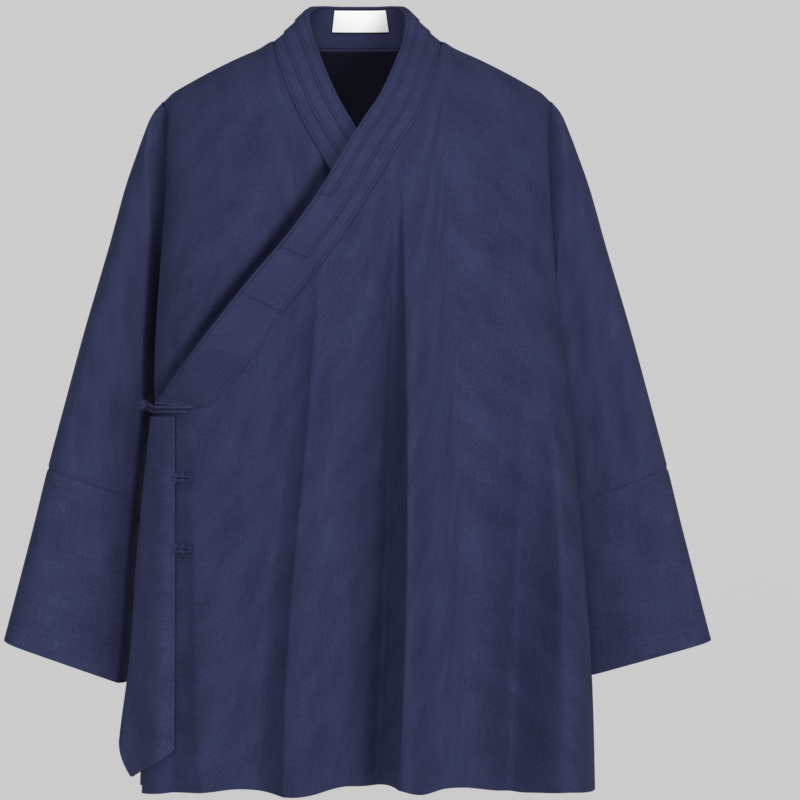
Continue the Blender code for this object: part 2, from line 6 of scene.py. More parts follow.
import bpy
import numpy as np
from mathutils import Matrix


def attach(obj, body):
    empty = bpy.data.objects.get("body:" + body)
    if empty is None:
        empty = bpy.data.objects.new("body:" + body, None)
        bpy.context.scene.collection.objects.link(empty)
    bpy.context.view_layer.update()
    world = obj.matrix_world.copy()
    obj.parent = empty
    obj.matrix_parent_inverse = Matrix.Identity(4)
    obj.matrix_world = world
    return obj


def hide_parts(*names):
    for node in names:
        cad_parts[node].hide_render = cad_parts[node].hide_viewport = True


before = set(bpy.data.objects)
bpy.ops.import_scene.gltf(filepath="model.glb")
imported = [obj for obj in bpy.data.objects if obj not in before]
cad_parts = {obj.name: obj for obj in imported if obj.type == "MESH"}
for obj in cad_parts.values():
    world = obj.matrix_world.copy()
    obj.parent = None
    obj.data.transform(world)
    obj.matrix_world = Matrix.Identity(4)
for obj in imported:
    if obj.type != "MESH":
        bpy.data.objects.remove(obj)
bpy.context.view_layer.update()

# The studio: a pale paper sweep runs from the floor up behind the jacket. A large soft key light stands at
# the viewer's right, with weaker ones at the left and above.
SWEEP_FLOOR, SWEEP_TOP, SWEEP_RADIUS, SWEEP_BEND = -1.5, 3.0, 0.9, 3.2
sweep_profile = [(-5.0, SWEEP_FLOOR), (SWEEP_BEND, SWEEP_FLOOR)]
for angle in np.linspace(0.1, math.pi / 2, 14):
    rise = SWEEP_RADIUS * (1 - math.cos(angle))
    sweep_profile.append((SWEEP_BEND + SWEEP_RADIUS * math.sin(angle), SWEEP_FLOOR + rise))
sweep_profile += [(SWEEP_BEND + SWEEP_RADIUS, SWEEP_TOP)]
sweep_mesh = bpy.data.meshes.new("paper_sweep")
sweep_mesh.from_pydata(
    [(x, y, z) for y, z in sweep_profile for x in (-5.0, 5.0)],
    [],
    [(2 * k, 2 * k + 1, 2 * k + 3, 2 * k + 2) for k in range(len(sweep_profile) - 1)],
)
sweep_mesh.shade_smooth()
sweep = bpy.data.objects.new("paper_sweep", sweep_mesh)
bpy.context.scene.collection.objects.link(sweep)
sweep_paper = bpy.data.materials.new("sweep_paper")
sweep_paper.use_nodes = True
paper_shader = sweep_paper.node_tree.nodes["Principled BSDF"]
paper_shader.inputs["Base Color"].default_value = (0.12, 0.12, 0.12, 1)
paper_shader.inputs["Roughness"].default_value = 1.0
paper_shader.inputs["Specular IOR Level"].default_value = 0.0
paper_shader.inputs["Emission Color"].default_value = (1, 1, 1, 1)
paper_shader.inputs["Emission Strength"].default_value = 0.535
sweep_mesh.materials.append(sweep_paper)

camera_data = bpy.data.cameras.new("camera")
camera_data.lens = 111.4
camera = bpy.data.objects.new("camera", camera_data)
camera.location = (0.045, -2.6, -0.370)
camera.rotation_euler = (math.pi / 2, 0, 0)
bpy.context.scene.collection.objects.link(camera)
bpy.context.scene.camera = camera

for light_name, place, aim, size, watts in (
    ("key_light", (2.3, -3.85, -0.1), (0.0, 0.0, -0.35), 1.6, 103.0),
    ("fill_light", (-0.9, -4.4, 0.3), (0.0, 0.0, -0.4), 2.6, 48.0),
    ("side_light", (-3.0, -3.2, 0.2), (0.0, 0.0, -0.4), 1.6, 32.0),
    ("top_light", (0.3, -2.2, 3.0), (0.0, 0.0, -0.2), 1.6, 74.0),
):
    light_data = bpy.data.lights.new(light_name, "AREA")
    light_data.size = size
    light_data.energy = watts
    light = bpy.data.objects.new(light_name, light_data)
    light.location = place
    toward = bpy.context.scene.cursor.location.copy()
    toward.xyz = aim
    light.rotation_euler = (toward - light.location).to_track_quat("-Z", "Y").to_euler()
    bpy.context.scene.collection.objects.link(light)

room = bpy.data.worlds.new("soft_room")
room.use_nodes = True
room.node_tree.nodes["Background"].inputs["Color"].default_value = (1, 1, 1, 1)
room.node_tree.nodes["Background"].inputs["Strength"].default_value = 0.05
bpy.context.scene.world = room
bpy.context.scene.view_settings.view_transform = "Standard"


# The cloth of the whole jacket is a plain weave of navy polyester and cotton, a little mottled, with a soft
# dry surface. The weave group gives the threads and the mottling to every woven finish.
def weave_group():
    tree = bpy.data.node_groups.new("plain_weave", "ShaderNodeTree")
    sockets = tree.interface
    sockets.new_socket("Cloth UV", in_out="INPUT", socket_type="NodeSocketVector")
    threads = sockets.new_socket("Threads per metre", in_out="INPUT", socket_type="NodeSocketFloat")
    threads.default_value = 2100.0
    mottle = sockets.new_socket("Mottling", in_out="INPUT", socket_type="NodeSocketFloat")
    mottle.default_value = 0.5
    sockets.new_socket("Tone", in_out="OUTPUT", socket_type="NodeSocketFloat")
    sockets.new_socket("Thread height", in_out="OUTPUT", socket_type="NodeSocketFloat")
    nodes, links = tree.nodes, tree.links
    given, result = nodes.new("NodeGroupInput"), nodes.new("NodeGroupOutput")

    def math_node(operation, first, second=None):
        node = nodes.new("ShaderNodeMath")
        node.operation = operation
        for socket, value in zip(node.inputs, (first, second)):
            if isinstance(value, (int, float)):
                socket.default_value = value
            elif value is not None:
                links.new(value, socket)
        return node.outputs[0]

    def noise(vector, scale, detail):
        node = nodes.new("ShaderNodeTexNoise")
        node.inputs["Scale"].default_value = scale
        node.inputs["Detail"].default_value = detail
        links.new(vector, node.inputs["Vector"])
        return node.outputs["Fac"]

    def stretched(vector, across, along):
        node = nodes.new("ShaderNodeMapping")
        node.inputs["Scale"].default_value = (across, along, 1)
        links.new(vector, node.inputs["Vector"])
        return node.outputs[0]

    place = given.outputs["Cloth UV"]
    split = nodes.new("ShaderNodeSeparateXYZ")
    links.new(place, split.inputs[0])
    ridges = []
    for axis in (0, 1):
        turns = math_node("MULTIPLY", split.outputs[axis], given.outputs["Threads per metre"])
        ridges.append(math_node("ABSOLUTE", math_node("SINE", math_node("MULTIPLY", turns, math.pi))))
    over = nodes.new("ShaderNodeTexChecker")
    links.new(place, over.inputs["Vector"])
    links.new(given.outputs["Threads per metre"], over.inputs["Scale"])
    warp_up = math_node("MULTIPLY", ridges[0], over.outputs["Fac"])
    weft_up = math_node("MULTIPLY", ridges[1], math_node("SUBTRACT", 1.0, over.outputs["Fac"]))
    height = math_node("ADD", warp_up, weft_up)
    links.new(height, result.inputs["Thread height"])

    patches = noise(place, 24.0, 4.0)
    grains = noise(place, 420.0, 2.0)
    warp_slubs = noise(stretched(place, 900.0, 38.0), 1.0, 2.0)
    weft_slubs = noise(stretched(place, 38.0, 900.0), 1.0, 2.0)
    slubs = math_node("MULTIPLY", math_node("ADD", warp_slubs, weft_slubs), 0.5)
    fine = math_node("ADD", math_node("MULTIPLY", grains, 0.45), math_node("MULTIPLY", slubs, 0.55))
    both = math_node("ADD", math_node("MULTIPLY", fine, 0.7), math_node("MULTIPLY", patches, 0.3))
    spread_out = math_node("MULTIPLY", math_node("SUBTRACT", both, 0.5),
                           math_node("MULTIPLY", given.outputs["Mottling"], 6.0))
    # Painted shade and light: the tone is darker where the threads sink and lighter where they rise over each
    # other.
    shaded = math_node("ADD", spread_out, math_node("MULTIPLY", math_node("SUBTRACT", height, 0.5), 0.25))
    links.new(math_node("ADD", shaded, 0.5), result.inputs["Tone"])
    return tree


WEAVE = weave_group()


def groove_group():
    """The sunk lines that stitching pulls into a folded layer: along its long edges, and in close rows by
    its end."""
    tree = bpy.data.node_groups.new("sewn_grooves", "ShaderNodeTree")
    sockets = tree.interface
    sockets.new_socket("Edge UV", in_out="INPUT", socket_type="NodeSocketVector")
    sockets.new_socket("Cloth UV", in_out="INPUT", socket_type="NodeSocketVector")
    for socket_name, value in (("Seam inset", 0.0028), ("Groove width", 0.0011), ("Row spacing", 0.0023),
                               ("Rows end", 0.0)):
        sockets.new_socket(socket_name, in_out="INPUT", socket_type="NodeSocketFloat").default_value = value
    sockets.new_socket("Height", in_out="OUTPUT", socket_type="NodeSocketFloat")
    nodes, links = tree.nodes, tree.links
    given, result = nodes.new("NodeGroupInput"), nodes.new("NodeGroupOutput")

    def math_node(operation, *values):
        node = nodes.new("ShaderNodeMath")
        node.operation = operation
        for socket, value in zip(node.inputs, values):
            if isinstance(value, (int, float)):
                socket.default_value = value
            else:
                links.new(value, socket)
        return node.outputs[0]

    def across(vector, axis):
        node = nodes.new("ShaderNodeSeparateXYZ")
        links.new(vector, node.inputs[0])
        return node.outputs[axis]

    def groove(distance):
        node = nodes.new("ShaderNodeMapRange")
        node.interpolation_type = "SMOOTHSTEP"
        links.new(math_node("DIVIDE", distance, given.outputs["Groove width"]), node.inputs["Value"])
        return node.outputs[0]

    inset = math_node("ABSOLUTE", math_node("SUBTRACT", across(given.outputs["Edge UV"], 0),
                                            given.outputs["Seam inset"]))
    spacing = given.outputs["Row spacing"]
    to_row = math_node("PINGPONG", math_node("ADD", across(given.outputs["Cloth UV"], 0),
                                             math_node("MULTIPLY", spacing, 0.5)),
                                             math_node("MULTIPLY", spacing, 0.5))
    beyond = math_node("GREATER_THAN", across(given.outputs["Cloth UV"], 1), given.outputs["Rows end"])
    rows = math_node("MAXIMUM", math_node("MAXIMUM", groove(to_row), 0.6), beyond)
    links.new(math_node("MULTIPLY", groove(inset), rows), result.inputs["Height"])
    return tree


GROOVES = groove_group()


def woven(name, dark, light, threads=2100.0, mottling=0.5, sheen=0.03, relief=0.35, soft_creases=0.3,
          seam=None, rows_end=0.0):
    """A woven finish: its colour runs from dark to light with the threads and the mottling, with painted
    shade between the threads and along any sewn grooves.
    """
    finish = bpy.data.materials.new(name)
    finish.use_nodes = True
    nodes, links = finish.node_tree.nodes, finish.node_tree.links
    shader = nodes["Principled BSDF"]
    cloth_uv = nodes.new("ShaderNodeUVMap")
    cloth_uv.uv_map = "cloth"
    weave = nodes.new("ShaderNodeGroup")
    weave.node_tree = WEAVE
    weave.inputs["Threads per metre"].default_value = threads
    weave.inputs["Mottling"].default_value = mottling
    links.new(cloth_uv.outputs[0], weave.inputs["Cloth UV"])
    colour = nodes.new("ShaderNodeMix")
    colour.data_type = "RGBA"
    colour.inputs["A"].default_value = (*dark, 1)
    colour.inputs["B"].default_value = (*light, 1)
    tone = weave.outputs["Tone"]
    if seam is not None:
        edge_uv = nodes.new("ShaderNodeUVMap")
        edge_uv.uv_map = "edges"
        grooves = nodes.new("ShaderNodeGroup")
        grooves.node_tree = GROOVES
        grooves.inputs["Seam inset"].default_value = seam
        grooves.inputs["Rows end"].default_value = rows_end
        links.new(edge_uv.outputs[0], grooves.inputs["Edge UV"])
        links.new(cloth_uv.outputs[0], grooves.inputs["Cloth UV"])
        # Painted shade: the colour is darkened along the sewn grooves, as the shade that falls into them.
        shade = nodes.new("ShaderNodeMapRange")
        shade.inputs["To Min"].default_value = -0.55
        shade.inputs["To Max"].default_value = 0.0
        links.new(grooves.outputs["Height"], shade.inputs["Value"])
        groove_shaded_tone = nodes.new("ShaderNodeMath")
        groove_shaded_tone.operation = "ADD"
        links.new(tone, groove_shaded_tone.inputs[0])
        links.new(shade.outputs[0], groove_shaded_tone.inputs[1])
        tone = groove_shaded_tone.outputs[0]
    links.new(tone, colour.inputs["Factor"])
    links.new(colour.outputs["Result"], shader.inputs["Base Color"])
    rough = nodes.new("ShaderNodeMapRange")
    rough.inputs["To Min"].default_value = 0.98
    rough.inputs["To Max"].default_value = 0.86
    links.new(weave.outputs["Tone"], rough.inputs["Value"])
    links.new(rough.outputs[0], shader.inputs["Roughness"])
    shader.inputs["Specular IOR Level"].default_value = 0.1
    shader.inputs["Sheen Weight"].default_value = sheen
    shader.inputs["Sheen Roughness"].default_value = 0.5
    shader.inputs["Sheen Tint"].default_value = (0.45, 0.52, 0.85, 1)

    place = nodes.new("ShaderNodeTexCoord")
    drawn = nodes.new("ShaderNodeMapping")
    drawn.inputs["Scale"].default_value = (26.0, 26.0, 9.0)
    links.new(place.outputs["Object"], drawn.inputs["Vector"])
    rumple = nodes.new("ShaderNodeTexNoise")
    rumple.inputs["Scale"].default_value = 1.0
    rumple.inputs["Detail"].default_value = 3.0
    links.new(drawn.outputs[0], rumple.inputs["Vector"])
    rumple_bump = nodes.new("ShaderNodeBump")
    rumple_bump.inputs["Strength"].default_value = soft_creases
    rumple_bump.inputs["Distance"].default_value = 0.006
    links.new(rumple.outputs["Fac"], rumple_bump.inputs["Height"])
    thread_bump = nodes.new("ShaderNodeBump")
    thread_bump.inputs["Strength"].default_value = relief
    thread_bump.inputs["Distance"].default_value = 0.00012
    links.new(weave.outputs["Thread height"], thread_bump.inputs["Height"])
    under_threads = rumple_bump.outputs[0]
    if seam is not None:
        groove_bump = nodes.new("ShaderNodeBump")
        groove_bump.inputs["Strength"].default_value = 0.8
        groove_bump.inputs["Distance"].default_value = 0.0009
        links.new(grooves.outputs["Height"], groove_bump.inputs["Height"])
        links.new(under_threads, groove_bump.inputs["Normal"])
        under_threads = groove_bump.outputs[0]
    links.new(under_threads, thread_bump.inputs["Normal"])
    links.new(thread_bump.outputs[0], shader.inputs["Normal"])
    return finish


body_cloth = woven("navy_body_cloth", (0.0190, 0.0224, 0.0585), (0.0338, 0.0398, 0.0980), mottling=0.85)
# Painted shade: the inside faces of every cloth piece get a much darker navy than the cloth, standing in for
# the shade inside the jacket. The same dark navy also draws the label's border.
inside_shade_and_label_rim = woven("navy_inside_shade_and_label_rim", (0.008, 0.009, 0.020), (0.013, 0.015, 0.030), sheen=0.0)


def curve_through(places, values):
    """A smooth function through the rows of a table, with each slope taken from the rows beside it."""
    places, values = np.asarray(places, float), np.asarray(values, float)
    slopes = np.gradient(values, places, axis=0)

    def at(place):
        place = np.clip(np.asarray(place, float), places[0], places[-1])
        row = np.clip(np.searchsorted(places, place, side="right") - 1, 0, len(places) - 2)
        step = places[row + 1] - places[row]
        t = (place - places[row]) / step
        if values.ndim > 1:
            t, step = t[..., None], step[..., None]
        start = (1 + 2 * t) * (1 - t) ** 2 * values[row] + t * (1 - t) ** 2 * step * slopes[row]
        return start + t * t * (3 - 2 * t) * values[row + 1] + t * t * (t - 1) * step * slopes[row + 1]

    return at


def ease(amount):
    amount = np.clip(amount, 0.0, 1.0)
    return amount * amount * (3 - 2 * amount)


def blend(start, end, share):
    return start + (end - start) * share


# The body of the jacket: the wearer's left front laps over the right one, and both fall from the shoulders
# in soft folds that fan out to the hem. They are cut in the same cloth as the back and turned up at the
# hem.
NECK_HALF_WIDTH = 0.088
NECK_SIDE_HEIGHT = 0.0025
SHOULDER_TIP_X, SHOULDER_TIP_Z = 0.2045, -0.054
FRONT_HEM, BACK_HEM = -0.757, -0.781
ARMHOLE_TOP, UNDERARM = -0.0565, -0.325
SEAM_GAP = 0.0003
HEM_TURNED_UP = 0.0175
BODY_WIDTHS = (
    # depth below the origin, wearer's left, wearer's right
    (0.054, 0.2045, 0.2045), (0.072, 0.2000, 0.1990), (0.100, 0.1985, 0.1970), (0.150, 0.1995, 0.1980),
    (0.212, 0.2035, 0.2025), (0.320, 0.2135, 0.2095),
    (0.375, 0.220, 0.2105), (0.450, 0.227, 0.211), (0.540, 0.234, 0.216), (0.645, 0.241, 0.221),
    (0.790, 0.245, 0.2255),
)
left_width = curve_through([row[0] for row in BODY_WIDTHS], [row[1] for row in BODY_WIDTHS])
right_width = curve_through([row[0] for row in BODY_WIDTHS], [row[2] for row in BODY_WIDTHS])
BODY_DEPTHS = (
    # drop below the shoulder line, front, back
    (0.000, 0.000, 0.000), (0.012, 0.028, 0.024), (0.035, 0.057, 0.049), (0.065, 0.079, 0.069),
    (0.100, 0.099, 0.084), (0.150, 0.118, 0.097), (0.210, 0.129, 0.101), (0.300, 0.133, 0.096),
    (0.420, 0.131, 0.093), (0.600, 0.133, 0.097), (0.800, 0.139, 0.106),
)
chest_depth = curve_through([row[0] for row in BODY_DEPTHS], [row[1] for row in BODY_DEPTHS])
back_depth = curve_through([row[0] for row in BODY_DEPTHS], [row[2] for row in BODY_DEPTHS])
FRONT_FOLDS = (
    # x at top, height of top, x at hem, half width at hem, rise at hem
    (-0.120, -0.450, -0.168, 0.026, 0.005), (-0.060, -0.230, -0.114, 0.024, -0.012),
    (-0.006, -0.200, -0.053, 0.026, 0.014), (0.024, -0.190, 0.012, 0.022, -0.013),
    (0.060, -0.150, 0.052, 0.019, 0.022), (0.110, -0.300, 0.100, 0.022, -0.003),
    (0.148, -0.220, 0.146, 0.024, -0.012), (0.198, -0.260, 0.222, 0.022, 0.016),
)
BACK_FOLDS = (
    (-0.150, -0.260, -0.172, 0.030, 0.012), (-0.085, -0.300, -0.100, 0.028, -0.013),
    (-0.035, -0.240, -0.032, 0.030, 0.015), (0.022, -0.280, 0.030, 0.026, -0.012),
    (0.075, -0.230, 0.092, 0.028, 0.014), (0.130, -0.320, 0.152, 0.028, -0.011),
)
# Narrow valleys between the soft folds. Most are steeper on the viewer's right, where the next ridge
# starts.
FRONT_VALLEYS = (
    # rows down each valley: height, x of its floor, depth, reach to the viewer's left, distance to the
    # ridge
    ((-0.140, 0.0420, 0.0000, 0.006, 0.0060), (-0.220, 0.0400, 0.0100, 0.009, 0.0090),
     (-0.320, 0.0370, 0.0240, 0.013, 0.0140),
     (-0.420, 0.0345, 0.0350, 0.016, 0.0175), (-0.570, 0.0310, 0.0420, 0.019, 0.0200),
     (-0.700, 0.0250, 0.0460, 0.021, 0.0215),
     (-0.800, 0.0190, 0.0460, 0.023, 0.0225)),
    ((-0.200, -0.0450, 0.0000, 0.008, 0.0120), (-0.310, -0.0570, 0.0110, 0.013, 0.0170),
     (-0.420, -0.0680, 0.0140, 0.016, 0.0190),
     (-0.520, -0.0800, 0.0150, 0.016, 0.0210), (-0.620, -0.0890, 0.0170, 0.017, 0.0220),
     (-0.800, -0.0960, 0.0190, 0.018, 0.0240)),
    ((-0.340, 0.1690, 0.0000, 0.010, 0.0200), (-0.420, 0.1690, 0.0160, 0.015, 0.0310),
     (-0.520, 0.1660, 0.0320, 0.019, 0.0400),
     (-0.620, 0.1630, 0.0410, 0.021, 0.0450), (-0.800, 0.1550, 0.0420, 0.023, 0.0520)),
    ((-0.400, -0.1820, 0.0000, 0.010, 0.0160), (-0.520, -0.1830, 0.0070, 0.010, 0.0200),
     (-0.640, -0.1840, 0.0110, 0.010, 0.0240),
     (-0.800, -0.1850, 0.0150, 0.012, 0.0330)),
    ((-0.170, 0.0740, 0.0000, 0.008, 0.0140), (-0.280, 0.0750, 0.0040, 0.010, 0.0180),
     (-0.420, 0.0780, 0.0060, 0.012, 0.0220),
     (-0.580, 0.0820, 0.0050, 0.014, 0.0260), (-0.800, 0.0880, 0.0110, 0.018, 0.0360)),
    ((-0.400, -0.0320, 0.0000, 0.012, 0.0180), (-0.560, -0.0310, 0.0040, 0.014, 0.0240),
     (-0.800, -0.0260, 0.0100, 0.018, 0.0340)),
    ((-0.110, 0.0930, 0.0000, 0.008, 0.0070), (-0.160, 0.0940, 0.0025, 0.010, 0.0080),
     (-0.230, 0.0960, 0.0000, 0.012, 0.0080)),
    ((-0.290, -0.1920, 0.0000, 0.006, 0.0080), (-0.325, -0.1850, 0.0045, 0.007, 0.0090),
     (-0.352, -0.1760, 0.0000, 0.006, 0.0080)),
)
BACK_VALLEYS = (
    ((-0.160, -0.0620, 0.0000, 0.008, 0.0100), (-0.300, -0.0680, 0.0070, 0.012, 0.0140),
     (-0.560, -0.0740, 0.0140, 0.016, 0.0190),
     (-0.800, -0.0780, 0.0180, 0.019, 0.0230)),
    ((-0.130, 0.0440, 0.0000, 0.008, 0.0100), (-0.280, 0.0440, 0.0060, 0.010, 0.0140),
     (-0.520, 0.0460, 0.0120, 0.013, 0.0200),
     (-0.800, 0.0500, 0.0170, 0.016, 0.0250)),
    ((-0.300, 0.1130, 0.0000, 0.010, 0.0120), (-0.520, 0.1150, 0.0070, 0.013, 0.0170),
     (-0.800, 0.1200, 0.0110, 0.018, 0.0230)),
    ((-0.350, -0.1280, 0.0000, 0.009, 0.0120), (-0.560, -0.1360, 0.0060, 0.012, 0.0180),
     (-0.800, -0.1440, 0.0110, 0.015, 0.0240)),
    ((-0.460, -0.0120, 0.0000, 0.008, 0.0110), (-0.640, -0.0080, 0.0040, 0.011, 0.0150),
     (-0.800, -0.0040, 0.0075, 0.014, 0.0190)),
    ((-0.110, 0.1480, 0.0000, 0.008, 0.0090), (-0.200, 0.1450, 0.0035, 0.010, 0.0110),
     (-0.330, 0.1400, 0.0000, 0.012, 0.0130)),
    ((-0.120, -0.1560, 0.0000, 0.008, 0.0100), (-0.230, -0.1500, 0.0032, 0.010, 0.0130),
     (-0.360, -0.1480, 0.0000, 0.012, 0.0150)),
)


def fold_rise(folds, x, z):
    rise = 0.0
    for top_x, top_z, hem_x, width, height in folds:
        share = ease((top_z - z) / (top_z - FRONT_HEM))
        middle = top_x + (hem_x - top_x) * share
        rise = rise + height * share**0.75 * np.exp(-(((x - middle) / (width * (0.45 + 0.55 * share))) ** 2))
    return rise


def valley_depth(valleys, x, z):
    """Each valley falls softly from the viewer's left, and ends at a crisp ridge on the right."""
    depth = 0.0
    for rows in valleys:
        table = np.array(rows)[::-1]
        line = curve_through(table[:, 0], table[:, 1:])(z)
        off = x - line[..., 0]
        soft = np.exp(-(np.maximum(-off, 0) / line[..., 2]) ** 1.5)
        out = np.maximum(off, 0) / line[..., 3]
        crisp = blend(np.maximum(1 - out**2.0, 0.0), 1 - ease(out),
                      np.clip((line[..., 3] - 0.021) / 0.034, 0, 1))
        depth = depth + np.maximum(line[..., 1], 0.0) * np.where(off < 0, soft, crisp)
    return depth


def half_width(x, z):
    return np.where(x > 0, left_width(-z), right_width(-z))


def shoulder_height(x):
    out = np.maximum(np.abs(x) - NECK_HALF_WIDTH, 0.0) / (SHOULDER_TIP_X - NECK_HALF_WIDTH)
    to_collar = 0.0045 * np.exp(-(((np.abs(x) - NECK_HALF_WIDTH) / 0.011) ** 2))
    rounded_tip = 0.0040 * ease((np.abs(x) - 0.187) / (SHOULDER_TIP_X - 0.187)) ** 2
    return blend(NECK_SIDE_HEIGHT, SHOULDER_TIP_Z, out**1.25) + to_collar - rounded_tip


def front_y(x, z, under=0.0):
    across = np.minimum(np.abs(x) / half_width(x, z), 1.0)
    drop = shoulder_height(x) - z
    flatness = 2.7 + 1.8 * ease((-0.30 - z) / 0.30) * (x > 0)
    round_off = (1 - across**flatness) ** (1 / flatness)
    edge = 0.036 * ease((SHOULDER_TIP_Z - z) / 0.075)
    depth = np.where(drop > 0, edge + (chest_depth(drop) - edge) * round_off, 0.0)
    folded = fold_rise(FRONT_FOLDS, x, z) - valley_depth(FRONT_VALLEYS, x, z)
    return -depth - folded * np.minimum(1.0, 2.2 * round_off) + under * 0.015 * ease(drop / 0.11)


def front_point(x, z, lift, under=0.0):
    x, z, lift = np.broadcast_arrays(np.asarray(x, float), np.asarray(z, float), np.asarray(lift, float))
    reach = 0.001
    slope_x = (front_y(x + reach, z, under) - front_y(x - reach, z, under)) / (2 * reach)
    slope_z = (front_y(x, z + reach, under) - front_y(x, z - reach, under)) / (2 * reach)
    out = np.stack([slope_x, -np.ones_like(slope_x), slope_z], axis=-1)
    out /= np.linalg.norm(out, axis=-1, keepdims=True)
    return np.stack([x, front_y(x, z, under), z], axis=-1) + out * lift[..., None]


def back_y(x, z, edge_x, edge_y):
    across = np.minimum(np.abs(x) / edge_x, 1.0)
    rise = 0.045 * (1 - np.minimum(np.abs(x) / NECK_HALF_WIDTH, 1.0) ** 2) * (1 - ease(-z / 0.140))
    drop = shoulder_height(x) + rise - z
    round_off = (1 - across**2.5) ** (1 / 2.5)
    depth = edge_y + (back_depth(np.maximum(drop, 0.0)) - edge_y) * round_off
    return depth + (fold_rise(BACK_FOLDS, x, z) - valley_depth(BACK_VALLEYS, x, z)) * round_off


FRONT_HEM_LINE = (
    # x, drop: the hem dips below each ridge and rises below each valley
    (-0.230, 0.7725), (-0.200, 0.7685), (-0.150, 0.7630), (-0.120, 0.7608), (-0.090, 0.7634),
    (-0.064, 0.7642),
    (-0.040, 0.7619), (-0.012, 0.7573), (0.0186, 0.7614), (0.043, 0.7562), (0.070, 0.7618), (0.092, 0.7584),
    (0.115, 0.7575), (0.153, 0.7670), (0.165, 0.7678), (0.188, 0.7646), (0.215, 0.7614), (0.246, 0.7655),
)
hem_drop = curve_through([row[0] for row in FRONT_HEM_LINE], [row[1] for row in FRONT_HEM_LINE])


def front_hem(x):
    return -hem_drop(x)


ARMHOLE_ROWS = (
    # share of the way down, x, y of the middle, half opening
    (0.00, 0.203, 0.0012, 0.0006), (0.12, 0.195, 0.013, 0.012), (0.30, 0.189, 0.020, 0.019),
    (0.55, 0.186, 0.026, 0.020), (0.80, 0.186, 0.034, 0.014), (1.00, 0.187, 0.048, 0.003),
)
armhole_row = curve_through([row[0] for row in ARMHOLE_ROWS], [row[1:] for row in ARMHOLE_ROWS])
SIDE_SEAM = ((0.325, 0.048), (0.345, 0.046), (0.370, 0.041), (0.420, 0.033), (0.520, 0.026), (0.790, 0.024))
side_seam_y = curve_through([row[0] for row in SIDE_SEAM], [row[1] for row in SIDE_SEAM])


def armhole_point(side, share, face):
    row = armhole_row(share)
    z = ARMHOLE_TOP + (UNDERARM - ARMHOLE_TOP) * share
    return np.stack([side * row[..., 0], row[..., 1] + face * row[..., 2], z], axis=-1)


def side_point(side, z, face):
    x = blend(0.187, half_width(side, z) - 0.003, ease((UNDERARM - z) / 0.11))
    slit = 0.007 * ease((-0.560 - z) / 0.2) * (1 if side > 0 else 0.4)
    return np.stack([side * x, side_seam_y(-z) + face * (SEAM_GAP + slit) / 2, z], axis=-1)


def edge_points(side, z, face):
    """Where a row at this height ends: at the armhole, or at the side seam and its slit below."""
    share = np.clip((ARMHOLE_TOP - z) / (ARMHOLE_TOP - UNDERARM), 0, 1)
    at_armhole = armhole_point(side, share, face) + np.array([0, face * SEAM_GAP, 0])
    return np.where((z > UNDERARM)[..., None], at_armhole, side_point(side, z, face))


def cloth_piece(name, grid, finish, inside, uv=None, wall=0.0014, tube=False, edge_round=0.0005,
                doubled=None):
    """A sheet through a grid of points, with its UVs in metres, thickened towards the point `inside`."""
    rows, columns = grid.shape[:2]
    if uv is None:
        across = np.linalg.norm(np.diff(grid[rows // 2], axis=0), axis=1)
        down = np.linalg.norm(np.diff(grid, axis=0), axis=2)
        u = np.concatenate([[0.0], np.cumsum(across)])
        v = np.concatenate([np.zeros((1, columns)), np.cumsum(down, axis=0)])
        uv = np.stack([np.broadcast_to(u, (rows, columns)), v], axis=-1)
    index = np.arange(rows * columns).reshape(rows, columns)
    corners = np.stack([index[:-1, :-1], index[:-1, 1:], index[1:, 1:], index[1:, :-1]],
                       axis=-1).reshape(-1, 4)
    if tube:
        seam = np.stack([index[:-1, -1], index[:-1, 0], index[1:, 0], index[1:, -1]], axis=-1)
        corners = np.concatenate([corners, seam])
    mesh = bpy.data.meshes.new(name)
    mesh.from_pydata(grid.reshape(-1, 3).tolist(), [], corners.tolist())
    flat_uv = uv.reshape(-1, 2)
    layer = mesh.uv_layers.new(name="cloth")
    layer.data.foreach_set("uv", flat_uv[corners.reshape(-1)].reshape(-1).astype(np.float32))
    centre = np.array(inside)
    outward = sum(f.normal.dot(f.center - bpy.context.scene.cursor.location.__class__(centre))
                  for f in mesh.polygons)
    if outward < 0:
        mesh.flip_normals()
    mesh.shade_smooth()
    piece = bpy.data.objects.new(name, mesh)
    bpy.context.scene.collection.objects.link(piece)
    mesh.materials.append(finish)
    # The second slot, the dark inside navy, is painted shade on the inner faces.
    mesh.materials.append(inside_shade_and_label_rim)
    solid = piece.modifiers.new("wall", "SOLIDIFY")
    solid.material_offset = 1
    solid.thickness = wall
    solid.offset = -1
    solid.use_even_offset = not tube
    if doubled is not None:
        group = piece.vertex_groups.new(name="doubled")
        for weight, members in ((1.0, np.flatnonzero(doubled)), (0.55, np.flatnonzero(~doubled))):
            group.add(members.tolist(), weight, "REPLACE")
        solid.vertex_group = "doubled"
    if edge_round:
        rim = piece.modifiers.new("rim", "BEVEL")
        rim.width = edge_round
        rim.segments = 2
        rim.limit_method = "ANGLE"
        rim.angle_limit = math.radians(55)
    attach(piece, "root")
    return piece


